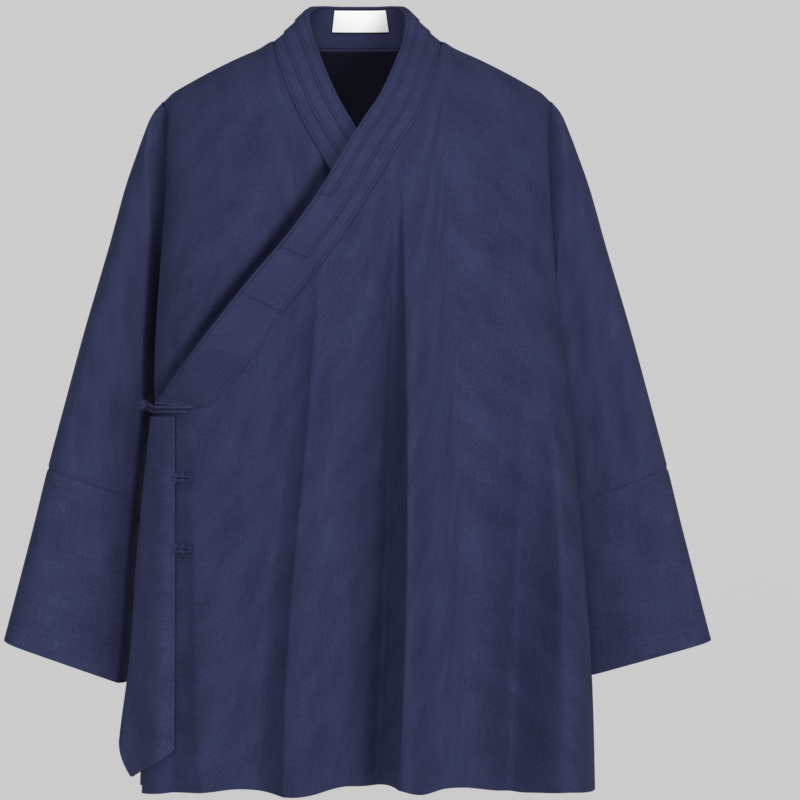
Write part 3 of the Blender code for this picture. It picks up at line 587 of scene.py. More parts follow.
# The collar band's edges come first, because the fronts and the back are cut to its seam.
OUTER_LAPEL = (
    # free edge x and z, seam x and z
    (-0.2050, -0.3750, -0.1610, -0.3780), (-0.1560, -0.3120, -0.1175, -0.3490),
    (-0.1070, -0.2510, -0.0705, -0.2830), (-0.0710, -0.2090, -0.0320, -0.2350),
    (-0.0375, -0.1630, 0.0030, -0.1850), (0.0026, -0.0950, 0.0440, -0.1160),
    (0.0246, -0.0590, 0.0660, -0.0790), (0.0440, -0.0110, 0.0820, -0.0290),
)
NECK = (
    # free edge x, y and z, seam x
    (0.0500, 0.0040, 0.0310, 0.0880), (0.0470, 0.0180, 0.0430, 0.0760),
    (0.0385, 0.0340, 0.0490, 0.0500), (0.0180, 0.0440, 0.0500, 0.0220),
)
INNER_LAPEL = (
    (-0.0390, -0.0110, -0.0800, -0.0290), (-0.0205, -0.0550, -0.0620, -0.0740),
    (0.0016, -0.0950, -0.0400, -0.1150), (0.0330, -0.1470, -0.0050, -0.1700),
    (0.0640, -0.1930, 0.0300, -0.2220), (0.0920, -0.2300, 0.0640, -0.2640),
)
LAPEL_EDGE = np.array(OUTER_LAPEL)[:, :2]
RIGHT_NECK, LEFT_NECK, BAND_END = 22, 36, 51


def band_rows():
    rows = []
    for free_x, free_z, seam_x, seam_z in OUTER_LAPEL:
        rows.append(((free_x, front_y(free_x, free_z), free_z), (seam_x, front_y(seam_x, seam_z), seam_z)))
    for side, ordered in ((1, NECK), (-1, NECK[::-1])):
        for free_x, free_y, free_z, seam_x in ordered:
            seam = (side * seam_x, 0.0, NECK_SIDE_HEIGHT)
            if seam_x != NECK_HALF_WIDTH:
                seam = (side * seam_x, back_y(seam_x, 0.0025, SHOULDER_TIP_X, 0.0), 0.0025)
            rows.append(((side * free_x, free_y, free_z), seam))
    for free_x, free_z, seam_x, seam_z in INNER_LAPEL:
        rows.append(((free_x, front_y(free_x, free_z, 1), free_z),
                     (seam_x, front_y(seam_x, seam_z, 1), seam_z)))
    return np.array(rows, float)


BAND_ROWS = band_rows()
band_edges = curve_through(range(len(BAND_ROWS)), BAND_ROWS.reshape(len(BAND_ROWS), 6))


def band_at(station):
    row = np.interp(station, (0, RIGHT_NECK, LEFT_NECK, BAND_END), (0, 8, 15, len(BAND_ROWS) - 1))
    both = band_edges(row)
    rounded_end = 0.0070 * np.exp(-(((np.asarray(station, float) - 1.05) / 0.75) ** 2))
    return both[..., :3], both[..., 3:] - rounded_end[..., None] * np.array([0.0, 0.0, 1.0])


seam_of_outer = band_at(np.linspace(0, RIGHT_NECK, 300))[1]
seam_of_inner = band_at(np.linspace(LEFT_NECK, BAND_END, 300))[1]
seam_of_back = band_at(np.linspace(RIGHT_NECK, LEFT_NECK, 200))[1]
TUCKED_IN = 0.004


def outer_top(x):
    under_band = np.interp(x, seam_of_outer[:, 0], seam_of_outer[:, 2]) + TUCKED_IN
    return np.where(x > NECK_HALF_WIDTH, shoulder_height(x), np.minimum(under_band, shoulder_height(x)))


def inner_top(x):
    under_band = np.interp(x, seam_of_inner[:, 0], seam_of_inner[:, 2]) + TUCKED_IN
    return np.where(x < -NECK_HALF_WIDTH, shoulder_height(x), np.minimum(under_band, shoulder_height(x)))


def crowded(start, end, steps, start_crowd=0.0, end_crowd=0.0):
    t = np.linspace(0, 1, steps + 1)
    t = blend(t, 1 - (1 - t) ** 2, end_crowd)
    t = blend(t, t * t, start_crowd)
    return blend(start, end, t)


def front_panel(name, tops_x, hems_x, top_of, hem_of, side, under):
    """A front: its columns fall from the top edge to the hem, and the last ones turn back round the side."""
    levels = crowded(0, 1, 176, start_crowd=0.4)[:, None]
    tops_z, hems_z = top_of(tops_x), hem_of(hems_x)
    z = blend(tops_z, hems_z, levels)
    share = blend(tops_x / half_width(tops_x, tops_z), hems_x / half_width(hems_x, hems_z), levels)
    x = share * half_width(share, z)
    beside_lapel = (np.interp(z, LAPEL_EDGE[:, 1], LAPEL_EDGE[:, 0]) - x) / 0.013
    hollow = under * 0.017 * np.exp(-(beside_lapel**2)) * ease((-0.080 - z) / 0.06)
    front = np.stack([x, front_y(x, z, under) + hollow, z], axis=-1)
    folded = front[:, -1 if side > 0 else 0]
    end = edge_points(side, folded[:, 2], -1)
    middle = blend(folded, end, 0.5) + np.array([side * 0.004, 0, 0])
    back_round = []
    for t in (0.1, 0.22, 0.36, 0.52, 0.68, 0.84, 1.0):
        back_round.append((1 - t) ** 2 * folded + 2 * t * (1 - t) * middle + t * t * end)
    turned = np.stack(back_round if side > 0 else back_round[::-1], axis=1)
    grid = np.concatenate([front, turned] if side > 0 else [turned, front], axis=1)
    hem = grid[-1:, :, 2]
    from_hem = grid[..., 2] - hem
    return cloth_piece(
        name, grid, body_cloth, (0.0, 0.02, -0.40), wall=0.0026,
        doubled=(from_hem < HEM_TURNED_UP).reshape(-1)
    )


def columns_across(start, end, count, sharp_at, edge):
    """Column places, closer together by the sharp valleys and by the side fold at `edge`."""
    x = np.linspace(start, end, 4000)
    density = 1.0 + 10.0 * np.exp(-np.abs(x - edge) / 0.006)
    for middle in sharp_at:
        density += 1.6 * np.exp(-(((x - middle) / 0.020) ** 2))
    filled = np.concatenate([[0.0], np.cumsum((density[1:] + density[:-1]) / 2)])
    return np.interp(np.linspace(0, filled[-1], count), filled, x)


def stitch_tree():
    """Stitches along the edges of a mesh: short rounded threads, laid flat against the cloth under them."""
    tree = bpy.data.node_groups.new("sewn_stitches", "GeometryNodeTree")
    sockets = tree.interface
    sockets.new_socket("Geometry", in_out="INPUT", socket_type="NodeSocketGeometry")
    for socket_name, value in (("Pitch", 0.003), ("Stitch length", 0.0021), ("Thread width", 0.0005)):
        sockets.new_socket(socket_name, in_out="INPUT", socket_type="NodeSocketFloat").default_value = value
    sockets.new_socket("Thread", in_out="INPUT", socket_type="NodeSocketMaterial")
    sockets.new_socket("Seed", in_out="INPUT", socket_type="NodeSocketInt").default_value = 11
    sockets.new_socket("Geometry", in_out="OUTPUT", socket_type="NodeSocketGeometry")
    nodes, links = tree.nodes, tree.links
    given, result = nodes.new("NodeGroupInput"), nodes.new("NodeGroupOutput")
    course = nodes.new("GeometryNodeMeshToCurve")
    links.new(given.outputs["Geometry"], course.inputs["Mesh"])
    places = nodes.new("GeometryNodeCurveToPoints")
    places.mode = "LENGTH"
    links.new(course.outputs["Curve"], places.inputs["Curve"])
    links.new(given.outputs["Pitch"], places.inputs["Length"])

    thread = nodes.new("GeometryNodeMeshUVSphere")
    thread.inputs["Radius"].default_value = 0.5
    thread.inputs["Segments"].default_value = 6
    thread.inputs["Rings"].default_value = 4
    size = nodes.new("ShaderNodeCombineXYZ")
    links.new(given.outputs["Stitch length"], size.inputs[0])
    links.new(given.outputs["Thread width"], size.inputs[1])
    links.new(given.outputs["Thread width"], size.inputs[2])
    sized = nodes.new("GeometryNodeTransform")
    links.new(thread.outputs["Mesh"], sized.inputs["Geometry"])
    links.new(size.outputs[0], sized.inputs["Scale"])

    facing = nodes.new("GeometryNodeInputNamedAttribute")
    facing.data_type = "FLOAT_VECTOR"
    facing.inputs["Name"].default_value = "out"
    along = nodes.new("FunctionNodeAlignRotationToVector")
    along.axis = "X"
    links.new(places.outputs["Tangent"], along.inputs["Vector"])
    upright = nodes.new("FunctionNodeAlignRotationToVector")
    upright.axis, upright.pivot_axis = "Z", "X"
    links.new(along.outputs["Rotation"], upright.inputs["Rotation"])
    links.new(facing.outputs["Attribute"], upright.inputs["Vector"])
    uneven = nodes.new("FunctionNodeRandomValue")
    uneven.data_type = "FLOAT_VECTOR"
    uneven.inputs["Min"].default_value = (0.86, 0.85, 0.85)
    uneven.inputs["Max"].default_value = (1.10, 1.12, 1.12)
    links.new(given.outputs["Seed"], uneven.inputs["Seed"])
    laid = nodes.new("GeometryNodeInstanceOnPoints")
    links.new(places.outputs["Points"], laid.inputs["Points"])
    links.new(sized.outputs["Geometry"], laid.inputs["Instance"])
    links.new(upright.outputs["Rotation"], laid.inputs["Rotation"])
    links.new(uneven.outputs["Value"], laid.inputs["Scale"])
    smooth = nodes.new("GeometryNodeSetShadeSmooth")
    real = nodes.new("GeometryNodeRealizeInstances")
    finish = nodes.new("GeometryNodeSetMaterial")
    links.new(laid.outputs["Instances"], real.inputs["Geometry"])
    links.new(real.outputs["Geometry"], smooth.inputs["Geometry"])
    links.new(smooth.outputs["Geometry"], finish.inputs["Geometry"])
    links.new(given.outputs["Thread"], finish.inputs["Material"])
    links.new(finish.outputs["Geometry"], result.inputs["Geometry"])
    return tree


STITCHES = stitch_tree()


def thread_finish(name, dark, light):
    """Twisted sewing thread, a little shinier than the cloth."""
    finish = bpy.data.materials.new(name)
    finish.use_nodes = True
    nodes, links = finish.node_tree.nodes, finish.node_tree.links
    shader = nodes["Principled BSDF"]
    place = nodes.new("ShaderNodeTexCoord")
    plies = nodes.new("ShaderNodeTexNoise")
    plies.inputs["Scale"].default_value = 1500.0
    plies.inputs["Detail"].default_value = 1.0
    links.new(place.outputs["Object"], plies.inputs["Vector"])
    colour = nodes.new("ShaderNodeMix")
    colour.data_type = "RGBA"
    colour.inputs["A"].default_value = (*dark, 1)
    colour.inputs["B"].default_value = (*light, 1)
    links.new(plies.outputs["Fac"], colour.inputs["Factor"])
    links.new(colour.outputs["Result"], shader.inputs["Base Color"])
    ply_bump = nodes.new("ShaderNodeBump")
    ply_bump.inputs["Strength"].default_value = 0.4
    ply_bump.inputs["Distance"].default_value = 0.0001
    links.new(plies.outputs["Fac"], ply_bump.inputs["Height"])
    links.new(ply_bump.outputs[0], shader.inputs["Normal"])
    shader.inputs["Roughness"].default_value = 0.55
    shader.inputs["Specular IOR Level"].default_value = 0.35
    return finish


navy_thread = thread_finish("navy_thread", (0.030, 0.036, 0.092), (0.058, 0.068, 0.150))
pale_thread = thread_finish("pale_thread", (0.075, 0.085, 0.160), (0.240, 0.260, 0.380))
# Painted shade: the hem thread is a darker navy than the cloth, so that the sewn hem and flap lines read as
# dark crease lines.
hem_thread_painted_shade = thread_finish("hem_thread_painted_shade", (0.014, 0.017, 0.044), (0.026, 0.031, 0.076))


def sewn(name, courses, pitch=0.0030, stitch=0.0021, width=0.0005, thread=navy_thread):
    """Stitches along each course, a row of points with the way the cloth faces at each, as one mesh."""
    course_mesh = bpy.data.meshes.new(name + "_course")
    edges, start = [], 0
    for points, _ in courses:
        edges += [(start + k, start + k + 1) for k in range(len(points) - 1)]
        start += len(points)
    course_mesh.from_pydata(np.concatenate([points for points, _ in courses]).tolist(), edges, [])
    facing = course_mesh.attributes.new("out", "FLOAT_VECTOR", "POINT")
    facing.data.foreach_set("vector",
                            np.concatenate([out for _, out in courses]).astype(np.float32).reshape(-1))
    course = bpy.data.objects.new(name + "_course", course_mesh)
    bpy.context.scene.collection.objects.link(course)
    sewing = course.modifiers.new("stitches", "NODES")
    sewing.node_group = STITCHES
    sizes = {"Pitch": pitch, "Stitch length": stitch, "Thread width": width, "Thread": thread}
    for socket in STITCHES.interface.items_tree:
        if socket.in_out == "INPUT" and socket.name in sizes:
            sewing[socket.identifier] = sizes[socket.name]
    mesh = bpy.data.meshes.new_from_object(course.evaluated_get(bpy.context.evaluated_depsgraph_get()))
    mesh.name = name
    course.modifiers.remove(sewing)
    bpy.data.objects.remove(course)
    piece = bpy.data.objects.new(name, mesh)
    bpy.context.scene.collection.objects.link(piece)
    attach(piece, "root")
    return piece


def laid_on(piece, points):
    """The points moved to the nearest face of a piece, with the way that the cloth faces at each."""
    ready = piece.evaluated_get(bpy.context.evaluated_depsgraph_get())
    found = [ready.closest_point_on_mesh(point) for point in points.tolist()]
    return np.array([row[1] for row in found]), np.array([row[2] for row in found])


outer_x = columns_across(-0.1985, SHOULDER_TIP_X, 200, (0.034, -0.066), SHOULDER_TIP_X)
outer_front = front_panel(
    "outer_front_cloth",
    outer_x,
    np.interp(outer_x, (-0.1985, SHOULDER_TIP_X), (-0.2185, float(left_width(0.777)))),
    outer_top,
    front_hem,
    1,
    0.0,
)
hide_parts("outer_front")
inner_x = columns_across(-SHOULDER_TIP_X, 0.078, 130, (-0.1,), -SHOULDER_TIP_X)
inner_front = front_panel(
    "inner_front_cloth",
    inner_x,
    np.interp(inner_x, (-SHOULDER_TIP_X, 0.078), (-float(right_width(0.777)), 0.092)),
    inner_top,
    lambda x: front_hem(x) + 0.004,
    -1,
    1.0,
)
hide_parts("inner_front")
hem_x = np.linspace(-0.214, 0.2395, 220)
hem_z = front_hem(hem_x) + HEM_TURNED_UP
slit_z = np.linspace(-0.648, -0.7455, 40)
slit_x = blend(0.2180, 0.2210, (slit_z + 0.648) / -0.0975)
front_stitches = sewn(
    "front_hem_stitches",
    [
        laid_on(outer_front, np.stack([hem_x, front_y(hem_x, hem_z) - 0.003, hem_z], axis=-1)),
        laid_on(outer_front, np.stack([slit_x, front_y(slit_x, slit_z) - 0.003, slit_z], axis=-1)),
    ],
    thread=hem_thread_painted_shade,
)


def back_panel():
    """The back hangs from both shoulders and the collar seam. Its sides follow the armholes and the side
    seams."""
    levels = crowded(0, 1, 176, start_crowd=0.4)[:, None]
    half = crowded(0, 1, 80, end_crowd=0.5)
    tops_share = np.concatenate([-half[:0:-1], half])
    tops_x = tops_share * SHOULDER_TIP_X
    tops_z = np.where(np.abs(tops_x) < NECK_HALF_WIDTH,
                      np.maximum(NECK_SIDE_HEIGHT + 0.0015, shoulder_height(tops_x)), shoulder_height(tops_x))
    edge_z = blend(SHOULDER_TIP_Z, BACK_HEM, levels[:, 0])
    right, left = edge_points(-1, edge_z, 1), edge_points(1, edge_z, 1)
    z = blend(tops_z, BACK_HEM, levels)
    end = np.where(tops_share[None, :, None] < 0, right[:, None], left[:, None])
    x = tops_share * np.abs(end[..., 0])
    y = back_y(x, z, np.abs(end[..., 0]), end[..., 1]) + SEAM_GAP
    grid = np.stack([x, y, z], axis=-1)
    grid[:, 0], grid[:, -1] = right, left
    return cloth_piece(
        "back_cloth", grid, body_cloth, (0.0, -0.02, -0.40), wall=0.0026,
        doubled=(z - BACK_HEM < HEM_TURNED_UP).reshape(-1)
    )


back = back_panel()
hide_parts("back")
back_hem_x = np.linspace(-0.214, 0.234, 200)
back_hem_z = np.full(200, BACK_HEM + HEM_TURNED_UP)
back_stitches = sewn(
    "back_hem_stitches",
    [laid_on(back, np.stack([back_hem_x, back_y(back_hem_x, back_hem_z, 0.24, 0.024) + 0.004, back_hem_z],
                            axis=-1))],
)

# The sleeves are set into the armholes and pieced at the elbow. They hang flat beside the body, creased
# front and back, and they are turned up at the cuff.
FLAP_FOLD = (
    (0.386, -0.2120, -0.050), (0.447, -0.2185, -0.050), (0.529, -0.2262, -0.050), (0.642, -0.2345, -0.049),
    (0.721, -0.2447, -0.047), (0.750, -0.2470, -0.047),
)
flap_fold = curve_through([row[0] for row in FLAP_FOLD], [row[1:] for row in FLAP_FOLD])
FLAP_TOP, FLAP_EDGE_X = -0.3865, -0.1808
SLEEVE_RINGS = (
    # outer edge x, y, z, inner edge x, y, z, half thickness
    (0.2105, 0.006, -0.0630, 0.189, 0.055, -0.331, 0.018),
    (0.2175, 0.010, -0.0745, 0.191, 0.059, -0.339, 0.020),
    (0.2310, 0.014, -0.1070, 0.195, 0.066, -0.350, 0.021),
    (0.2460, 0.018, -0.1480, 0.201, 0.072, -0.366, 0.022),
    (0.2640, 0.022, -0.2115, 0.208, 0.080, -0.388, 0.022),
    (0.2890, 0.026, -0.2960, 0.215, 0.086, -0.416, 0.020),
    (0.3120, 0.028, -0.3800, 0.219, 0.089, -0.450, 0.018),
    (0.3288, 0.029, -0.4425, 0.222, 0.090, -0.486, 0.017),
    (0.3435, 0.028, -0.5030, 0.228, 0.091, -0.548, 0.017),
    (0.3590, 0.026, -0.5640, 0.234, 0.091, -0.611, 0.016),
    (0.3745, 0.023, -0.6245, 0.240, 0.090, -0.674, 0.015),
)
ELBOW, ARMHOLE_EASING = 8, 160
# Painted light: the sleeves use the body's navy made about a tenth lighter, standing in for the light on them
# so that they look as bright as the body.
sleeve_cloth_painted_lighter = woven("navy_sleeve_cloth_painted_light", (0.0210, 0.0250, 0.0635), (0.0380, 0.0445, 0.1070), mottling=0.85)
SLEEVE_CREASES = {
    # place along the sleeve, share across its front, half lengths of the crease along both, slant, depth
    1: ((6.6, 0.30, 0.55, 0.11, 0.30, -0.0035), (7.4, 0.62, 0.45, 0.09, -0.35, -0.0030),
        (5.2, 0.55, 0.9, 0.10, 0.20, -0.0030),
        (3.2, 0.45, 1.2, 0.10, -0.10, -0.0030), (9.4, 0.35, 0.9, 0.10, 0.15, -0.0026),
        (8.7, 0.70, 0.6, 0.09, -0.25, -0.0024)),
    -1: ((6.9, 0.45, 0.55, 0.10, -0.30, -0.0032), (5.6, 0.30, 0.8, 0.10, 0.25, -0.0030),
         (7.6, 0.70, 0.40, 0.08, 0.30, -0.0026),
         (3.6, 0.55, 1.1, 0.10, 0.10, -0.0030), (9.2, 0.55, 0.9, 0.10, -0.15, -0.0026),
         (8.6, 0.28, 0.5, 0.08, 0.25, -0.0022)),
}


def sleeve_surface(side):
    """The sleeve's rings, from the armhole to the cuff, as one smooth surface."""
    turn = (1 - np.cos(np.linspace(0, math.pi, 41))) / 2
    shares = np.concatenate([turn[:-1], turn[:0:-1]])
    faces = np.concatenate([np.ones(40), -np.ones(40)])
    at_armhole = np.concatenate([armhole_point(side, turn[:-1], -1), armhole_point(side, turn[:0:-1], 1)])
    at_armhole[:, 0] += side * 2 * SEAM_GAP
    rings = [at_armhole]
    before = np.concatenate([armhole_point(1, np.array(0.0), 0), armhole_point(1, np.array(1.0), 0)])
    for row in SLEEVE_RINGS:
        outer, inner = np.array(row[0:3]), np.array(row[3:6])
        along = (outer + inner) / 2 - (before[:3] + before[3:]) / 2
        out = np.cross(inner - outer, along)
        out /= np.linalg.norm(out)
        out *= -1 if out[1] > 0 else 1
        fullness = np.maximum(1 - np.abs(2 * shares - 1) ** 2.6, 0.0) ** 0.5
        ring = blend(outer, inner, shares[:, None]) + out * (faces * row[6] * fullness)[:, None]
        rings.append(ring * (side, 1, 1))
        before = np.array(row[:6])
    return curve_through(range(len(rings)), np.array(rings).reshape(len(rings), -1)), shares, faces


def sleeve_piece(name, side, start, end, rings):
    surface, shares, faces = sleeve_surface(side)
    places = np.linspace(start, end, rings)
    grid = surface(places).reshape(rings, len(shares), 3)
    centre = grid.mean(axis=1, keepdims=True)
    out = grid - centre
    out /= np.linalg.norm(out, axis=-1, keepdims=True)
    dent = np.zeros(grid.shape[:2])
    for place, share, along, across, slant, depth in SLEEVE_CREASES[side]:
        on_face = places[:, None] - place
        over = (shares - share - slant * on_face * 0.12) / across
        dent += depth * np.exp(-((on_face / along) ** 2) - over**2) * np.where(faces > 0, 1, 0.8)
    seam = np.minimum(np.abs(places - ELBOW), 9)[:, None]
    dent -= 0.0012 * np.exp(-((seam / 0.035) ** 2))
    grid = grid + out * dent[..., None]
    # The front of each sleeve is pushed forward beside the body, and drops back into the gap next to it.
    body_edge = half_width(float(side), grid[..., 2])
    if side < 0:
        body_edge = np.where(grid[..., 2] < FLAP_TOP, -flap_fold(-grid[..., 2])[..., 0], body_edge)
    fullness = np.maximum(1 - np.abs(2 * shares - 1) ** 12.0, 0.0) ** 0.5
    clear = ease((np.abs(grid[..., 0]) - body_edge + (0.011 if side > 0 else 0.001))
                 / (0.012 if side > 0 else 0.016))
    reach = 0.012 + 0.044 * shares if side > 0 else 0.020 + 0.050 * shares
    forward = reach * ease(places / (0.5 if side > 0 else 1.1))[:, None] * fullness * clear * (faces > 0)
    grid[..., 1] -= forward
    near_armhole = 0.25 * ease((2.8 - places[1:-1]) / 0.8)[:, None, None]
    for _ in range(ARMHOLE_EASING):
        grid[1:-1] += near_armhole * (grid[:-2] - 2 * grid[1:-1] + grid[2:])
    if side > 0:
        grid[..., 2] += 0.009 * shares * ease((places - 9.0) / 2.0)[:, None]
    else:
        grid[..., 2] += 0.005 * shares * np.exp(-(((places - ELBOW) / 1.4) ** 2))[:, None]
    turned_up = (places > SLEEVE_CUFF)[:, None] & np.ones(len(shares), bool)
    piece = cloth_piece(name, grid, sleeve_cloth_painted_lighter, centre.mean(axis=(0, 1)), wall=0.0024, tube=True,
                        doubled=turned_up.reshape(-1))
    return piece, grid, places


SLEEVE_CUFF = 10.70
for side, word in ((1, "left"), (-1, "right")):
    upper, _, _ = sleeve_piece("sleeve_upper_cloth_" + word, side, 0.0, ELBOW, 120)
    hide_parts("sleeve_upper_" + word)
    lower, rows, places = sleeve_piece("sleeve_lower_cloth_" + word, side, ELBOW, 11.0, 60)
    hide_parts("sleeve_lower_" + word)
    cuff_row = rows[int(np.abs(places - SLEEVE_CUFF).argmin())]
    cuff_row = cuff_row + (cuff_row - cuff_row.mean(axis=0)) * 0.02
    cuff_stitches = sewn("cuff_stitches_" + word,
                         [laid_on(lower, np.concatenate([cuff_row, cuff_row[:1]]))])

# The collar: a stiffened band round the neck and down both fronts, and three narrower layers stitched one
# on another, so that it steps down from the free edge.
collar_cloth = woven("navy_collar_cloth", (0.0205, 0.0238, 0.0615), (0.0368, 0.0425, 0.1035),
                     soft_creases=0.08, seam=0.0028)
quilted_cloth = woven("navy_quilted_end", (0.0205, 0.0238, 0.0615), (0.0368, 0.0425, 0.1035),
                      soft_creases=0.08, seam=0.0028, rows_end=0.084)
BAND_WIDTH = 0.045


def band_point(station, share, lift):
    station, share, lift = np.broadcast_arrays(*(np.asarray(a, float) for a in (station, share, lift)))
    free, seam = band_at(station)
    point = free + (seam - free) * share[..., None]
    from_neck = np.maximum(np.maximum(RIGHT_NECK - station, station - LEFT_NECK), 0)
    chest = front_y(point[..., 0], point[..., 2], np.where(station > LEFT_NECK, 1.0, 0.0))
    point[..., 1] += (chest - point[..., 1]) * ease(from_neck / 4)
    point[..., 1] -= 0.007 * (1 - share) ** 1.5 * ease(station / 2.5) * ease((18.5 - station) / 4)
    ahead, behind = band_at(np.minimum(station + 0.7, BAND_END)), band_at(np.maximum(station - 0.7, 0))
    out = np.cross(seam - free, ahead[0] + ahead[1] - behind[0] - behind[1])
    out /= np.linalg.norm(out, axis=-1, keepdims=True)
    return point + out * lift[..., None]


def layer_piece(name, surface, along, across, lift, thickness, finish):
    """A flat layer of folded cloth with rounded edges: an outer face, an inner face and a rim between
    them."""
    rounding = thickness / 2
    s, t = np.meshgrid(along[0], across[0], indexing="ij")
    to_edge = np.minimum(along[1][:, None], across[1][None, :])
    fullness = np.sqrt(np.maximum(1 - (1 - np.minimum(to_edge / rounding, 1)) ** 2, 0.0))
    middle = lift - thickness / 2
    outer = surface(s, t, middle + rounding * fullness)
    inner = surface(s, t, middle - rounding * fullness - 0.00002)
    rows, columns = s.shape
    index = np.arange(rows * columns).reshape(rows, columns)
    quads = np.stack([index[:-1, :-1], index[:-1, 1:], index[1:, 1:], index[1:, :-1]], axis=-1).reshape(-1, 4)
    loop = np.concatenate([index[0, :-1], index[:-1, -1], index[-1, :0:-1], index[:0:-1, 0]])
    following = np.roll(loop, -1)
    offset = rows * columns
    rim = np.stack([following, loop, loop + offset, following + offset], axis=-1)
    corners = np.concatenate([quads, quads[:, ::-1] + offset, rim])
    mesh = bpy.data.meshes.new(name)
    mesh.from_pydata(np.concatenate([outer.reshape(-1, 3), inner.reshape(-1, 3)]).tolist(), [],
                     corners.tolist())
    widths = np.linalg.norm(np.diff(outer, axis=1), axis=2)
    lengths = np.linalg.norm(np.diff(outer, axis=0), axis=2)
    u = np.concatenate([np.zeros((rows, 1)), np.cumsum(widths, axis=1)], axis=1)
    v = np.concatenate([np.zeros((1, columns)), np.cumsum(lengths, axis=0)])
    uv = np.tile(np.stack([u, v], axis=-1).reshape(-1, 2), (2, 1))
    layer = mesh.uv_layers.new(name="cloth")
    layer.data.foreach_set("uv", uv[corners.reshape(-1)].reshape(-1).astype(np.float32))
    to_side = np.tile(across[1][None, :] + 0 * s, (2, 1)).reshape(-1)
    to_end = np.tile(along[1][:, None] + 0 * s, (2, 1)).reshape(-1)
    edge_layer = mesh.uv_layers.new(name="edges")
    edge_uv = np.stack([to_side, to_end], axis=-1)
    edge_layer.data.foreach_set("uv", edge_uv[corners.reshape(-1)].reshape(-1).astype(np.float32))
    volume = sum(f.center.dot(f.normal) * f.area for f in mesh.polygons)
    if volume < 0:
        mesh.flip_normals()
    mesh.shade_smooth()
    piece = bpy.data.objects.new(name, mesh)
    bpy.context.scene.collection.objects.link(piece)
    mesh.materials.append(finish)
    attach(piece, "root")
    return piece


def run_with_edges(start, end, steps, length, fine):
    """Places from start to end with extra ones by both ends, and how far each lies from the nearer end."""
    near = np.array([0.0, 0.12, 0.3, 0.55, 0.8, 1.0]) * fine
    inner_run = np.linspace(fine, length - fine, steps)[1:-1]
    distance = np.concatenate([near, inner_run, length - near[::-1]])
    return blend(start, end, distance / length), np.minimum(distance, length - distance)


STATION_LENGTH = 0.0178
END_SLANT = 0.48
COLLAR_LAYERS = (
    # node, shares of the band's width that it covers, first and last station, lift, thickness, flat size,
    # flat area
    ("collar_band", 0.0, 0.987, 0.0, 51.0, 0.0012, 0.0028, (0.061, 0.92), 0.0498),
    ("collar_tier_wide", 0.012, 0.965, 5.0, 47.0, 0.0027, 0.0015, (0.050, 0.80), 0.038),
    ("collar_tier_middle", 0.016, 0.667, 7.8, 46.0, 0.0042, 0.0015, (0.036, 0.74), 0.023),
    ("collar_tier_narrow", 0.020, 0.333, 10.95, 45.0, 0.0057, 0.0015, (0.017, 0.69), 0.0102),
)
for node, low, high, first, last, lift, thickness, _, _ in COLLAR_LAYERS:
    steps = int((last - first) * 7)
    piece = layer_piece(
        node + "_cloth",
        lambda station, share, lift, first=first, last=last: band_point(
            station + END_SLANT * share * (last - station) / (last - first) * (first > 0), share, lift
        ),
        run_with_edges(first, last, steps, (last - first) * STATION_LENGTH, thickness / 2),
        run_with_edges(low, high, int(6 + 24 * (high - low)), (high - low) * BAND_WIDTH, thickness / 2),
        lift,
        thickness,
        quilted_cloth if node == "collar_band" else collar_cloth,
    )
    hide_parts(node)



def on_band(stations, shares, lift):
    stations, shares = np.broadcast_arrays(np.asarray(stations, float), np.asarray(shares, float))
    points = band_point(stations, shares, lift)
    out = band_point(stations, shares, lift + 0.001) - points
    return points, out / np.linalg.norm(out, axis=-1, keepdims=True)


collar_courses = []
for node, low, high, first, last, lift, thickness, _, _ in COLLAR_LAYERS:
    slant = END_SLANT if first > 0 else 0.0
    run = np.linspace(first + 0.12 + slant * high, last - 0.12, int((last - first) * 5))
    edges = (low + 0.062, high - 0.062) if node == "collar_tier_narrow" else (high - 0.062,)
    collar_courses += [on_band(run, share, lift) for share in edges]
    if node != "collar_band":
        end_shares = np.linspace(low + 0.06, high - 0.06, 14)
        collar_courses.append(on_band(first + 0.17 + slant * end_shares, end_shares, lift))
quilt_rows = np.arange(0.0848, 0.93, 0.0844)
collar_courses += [on_band(np.linspace(0.55, 4.4, 26), share, 0.0012) for share in quilt_rows]
collar_courses += [on_band(4.5 - 0.05, np.linspace(0.03, 0.95, 14), 0.0012)]
collar_stitches = sewn("collar_stitches", collar_courses, pitch=0.0028, stitch=0.0020,
                       width=0.00048)
end_strip = layer_piece(
    "lapel_end_hem",
    band_point,
    run_with_edges(0.0, 0.42, 5, 0.42 * STATION_LENGTH, 0.0006),
    run_with_edges(0.003, 0.984, 24, 0.98 * 0.061, 0.0006),
    0.0024,
    0.0012,
    collar_cloth,
)
end_tacks = sewn(
    "lapel_end_tacks",
    [on_band(np.full(40, 0.10), np.linspace(0.04, 0.90, 40), 0.0026)],
    stitch=0.0015,
    width=0.0006,
    thread=pale_thread,
)

# The side flap hangs from the frog down the wearer's right side. It is folded round the side, comes to a
# point at the bottom, and covers the outer front's free edge.
FLAP_BOTTOM = ((0.0, 0.7235), (0.60, 0.7575), (1.0, 0.7240), (2.0, 0.714))


